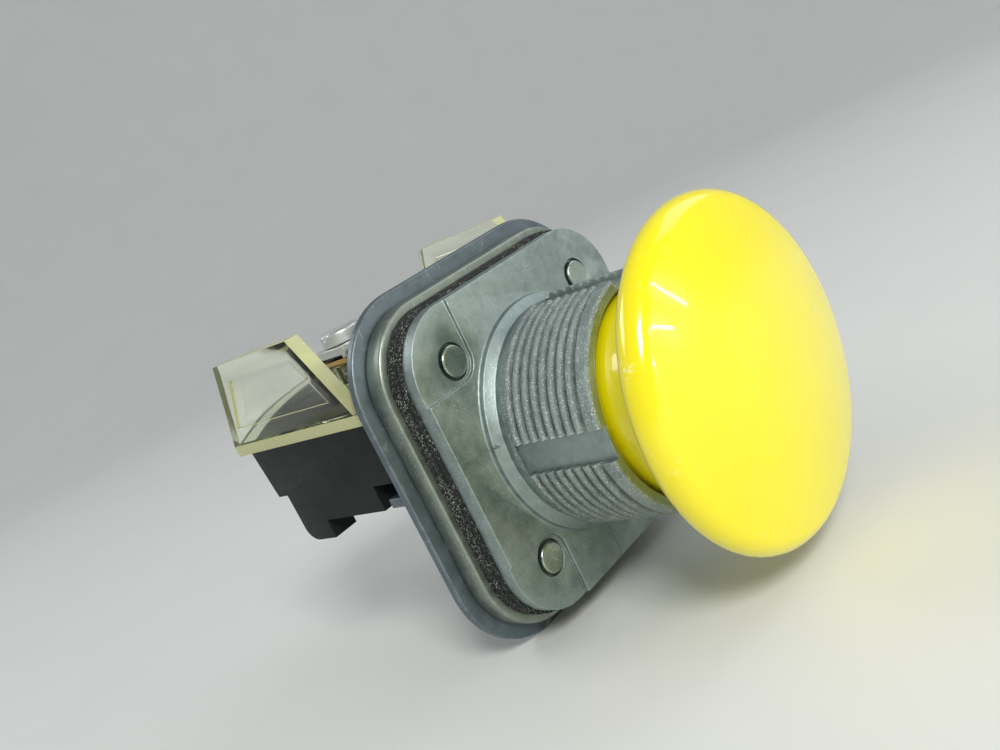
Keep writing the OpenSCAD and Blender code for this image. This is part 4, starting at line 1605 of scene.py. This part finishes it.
@dataclass
class Studio:
    """Pale sweep, soft lights and the camera."""

    eye: Vector = field(default_factory=lambda: Vector((-101.17, -94.50, 35.59)) * MM)
    aim: Vector = field(default_factory=lambda: Vector((1.94, 10.40, 6.19)) * MM)
    roll: float = -26.19
    lens: float = 39.42
    flat: float = 0.45
    rise: float = 0.35

    def sweep(self) -> None:
        """A round floor that curves up into a wall all round, so that no horizon shows."""
        floor = CAD_BOX[0].z
        section = [(0, 0), (self.flat / 2, 0)]
        section += [
            (self.flat + self.rise * math.sin(a), self.rise * (1 - math.cos(a)))
            for a in (math.radians(9 * i) for i in range(11))
        ]
        points = [Vector((r, 0, floor + z)) for r, z in section]
        sweep = drawn("studio_sweep", points, closed=False)
        with editing(sweep):
            bpy.ops.mesh.spin(steps=96, angle=FULL_TURN, center=(0, 0, 0), axis=(0, 0, 1))
            bpy.ops.mesh.select_all(action="SELECT")
            bpy.ops.mesh.remove_doubles(threshold=WELD)
            bpy.ops.mesh.normals_make_consistent(inside=True)
        smoothed(sweep, 60)
        paper = bpy.data.materials.new("sweep_paper")
        paper.use_nodes = True
        sheet = Sheet(paper.node_tree)
        shader = paper.node_tree.nodes["Principled BSDF"]
        at = sheet.add("TexCoord").outputs["Object"]
        tone = sheet.mix(sheet.noise(at, 40, 5), shade(0.74, 0.75, 0.73), shade(0.79, 0.80, 0.78))
        sheet.tree.links.new(tone, shader.inputs["Base Color"])
        shader.inputs["Roughness"].default_value = 0.75
        sweep.data.materials.append(paper)

    def light(self, name: str, place: Vector, size: tuple[float, float], watts: float, colour: tuple[float, float, float]) -> None:
        """One soft rectangular light that faces the object.

        Args:
            name: The light's name.
            place: Where it hangs.
            size: Its width and height in metres.
            watts: Its power.
            colour: Its colour.
        """
        lamp = bpy.data.lights.new(name, "AREA")
        lamp.shape = "RECTANGLE"
        lamp.size, lamp.size_y = size
        lamp.energy = watts
        lamp.color = colour
        stand = bpy.data.objects.new(name, lamp)
        bpy.context.scene.collection.objects.link(stand)
        stand.location = place
        stand.rotation_euler = (-place).to_track_quat("-Z", "Y").to_euler()

    def tube(self, name: str, start: Vector, end: Vector) -> None:
        """A long thin light, seen only as a streak on glossy pieces.

        Args:
            name: The light's name.
            start: Direction of one end, seen from the head.
            end: Direction of the other end.
        """
        reach, width, watts = 0.6, 0.008, 0.2
        middle = (start + end) / 2 * reach
        along = (end - start).normalized()
        facing = middle.normalized()
        upright = facing.cross(along).normalized()
        self.light(name, middle, ((end - start).length * reach, width), watts, (1.0, 1.0, 1.0))
        stand = bpy.data.objects[name]
        turn = Matrix((upright.cross(facing), upright, facing)).transposed()
        stand.rotation_euler = turn.to_euler()

    def camera(self) -> None:
        """The camera at its place, aimed and rolled."""
        lens = bpy.data.cameras.new("camera")
        lens.lens = self.lens
        lens.sensor_width = 36
        lens.clip_start = 0.005
        camera = bpy.data.objects.new("camera", lens)
        bpy.context.scene.collection.objects.link(camera)
        aimed = (self.aim - self.eye).to_track_quat("-Z", "Y").to_matrix()
        rolled = aimed @ Matrix.Rotation(math.radians(self.roll), 3, "Z")
        camera.matrix_world = Matrix.Translation(self.eye) @ rolled.to_4x4()
        bpy.context.scene.camera = camera

    def air(self) -> None:
        """An even pale surround."""
        world = bpy.data.worlds.new("surround")
        world.use_nodes = True
        back = world.node_tree.nodes["Background"]
        back.inputs["Color"].default_value = shade(0.86, 0.90, 0.92)
        back.inputs["Strength"].default_value = 0.36
        bpy.context.scene.world = world

    def build(self) -> None:
        """Sets the whole studio."""
        self.sweep()
        self.air()
        self.light("key", Vector((-0.25, -0.36, 0.34)), (0.16, 0.16), 1.9, (1.0, 0.99, 0.97))
        self.light("fill", Vector((0.35, -0.20, 0.30)), (0.30, 0.30), 0.4, (0.95, 0.98, 1.0))
        self.light("rim", Vector((-0.15, 0.40, 0.35)), (0.30, 0.12), 0.5, (1.0, 1.0, 1.0))
        self.tube("tube_high", Vector((0.18, -0.835, 0.52)), Vector((0.57, -0.82, 0.04)))
        self.tube("tube_middle", Vector((0.02, -0.95, 0.30)), Vector((0.48, -0.88, 0.01)))
        self.tube("tube_low", Vector((0.02, -0.99, 0.14)), Vector((0.28, -0.955, -0.03)))
        self.camera()
        bpy.context.scene.view_settings.view_transform = "Standard"


def travels() -> dict[str, float]:
    """Each sliding joint's longest travel in millimetres."""
    return {j["name"]: max(j["range_m"]) / MM for j in frame["joints"] if j["type"] == "slide"}


def main() -> None:
    """Builds the sub-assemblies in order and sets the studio."""
    logging.basicConfig(level=logging.INFO, format="%(name)s: %(message)s")
    stroke = travels()
    log.info("strokes in millimetres: %s", stroke)
    MushroomHead().build()
    Bushing().build()
    Stack().build()
    Plunger(stroke["head_press"]).build()
    ContactBlock(stroke["carriage_slide"], stroke["nc_bridge_slide"], stroke["no_bridge_slide"]).build()
    Studio().build()


if __name__ == "__main__":
    main()
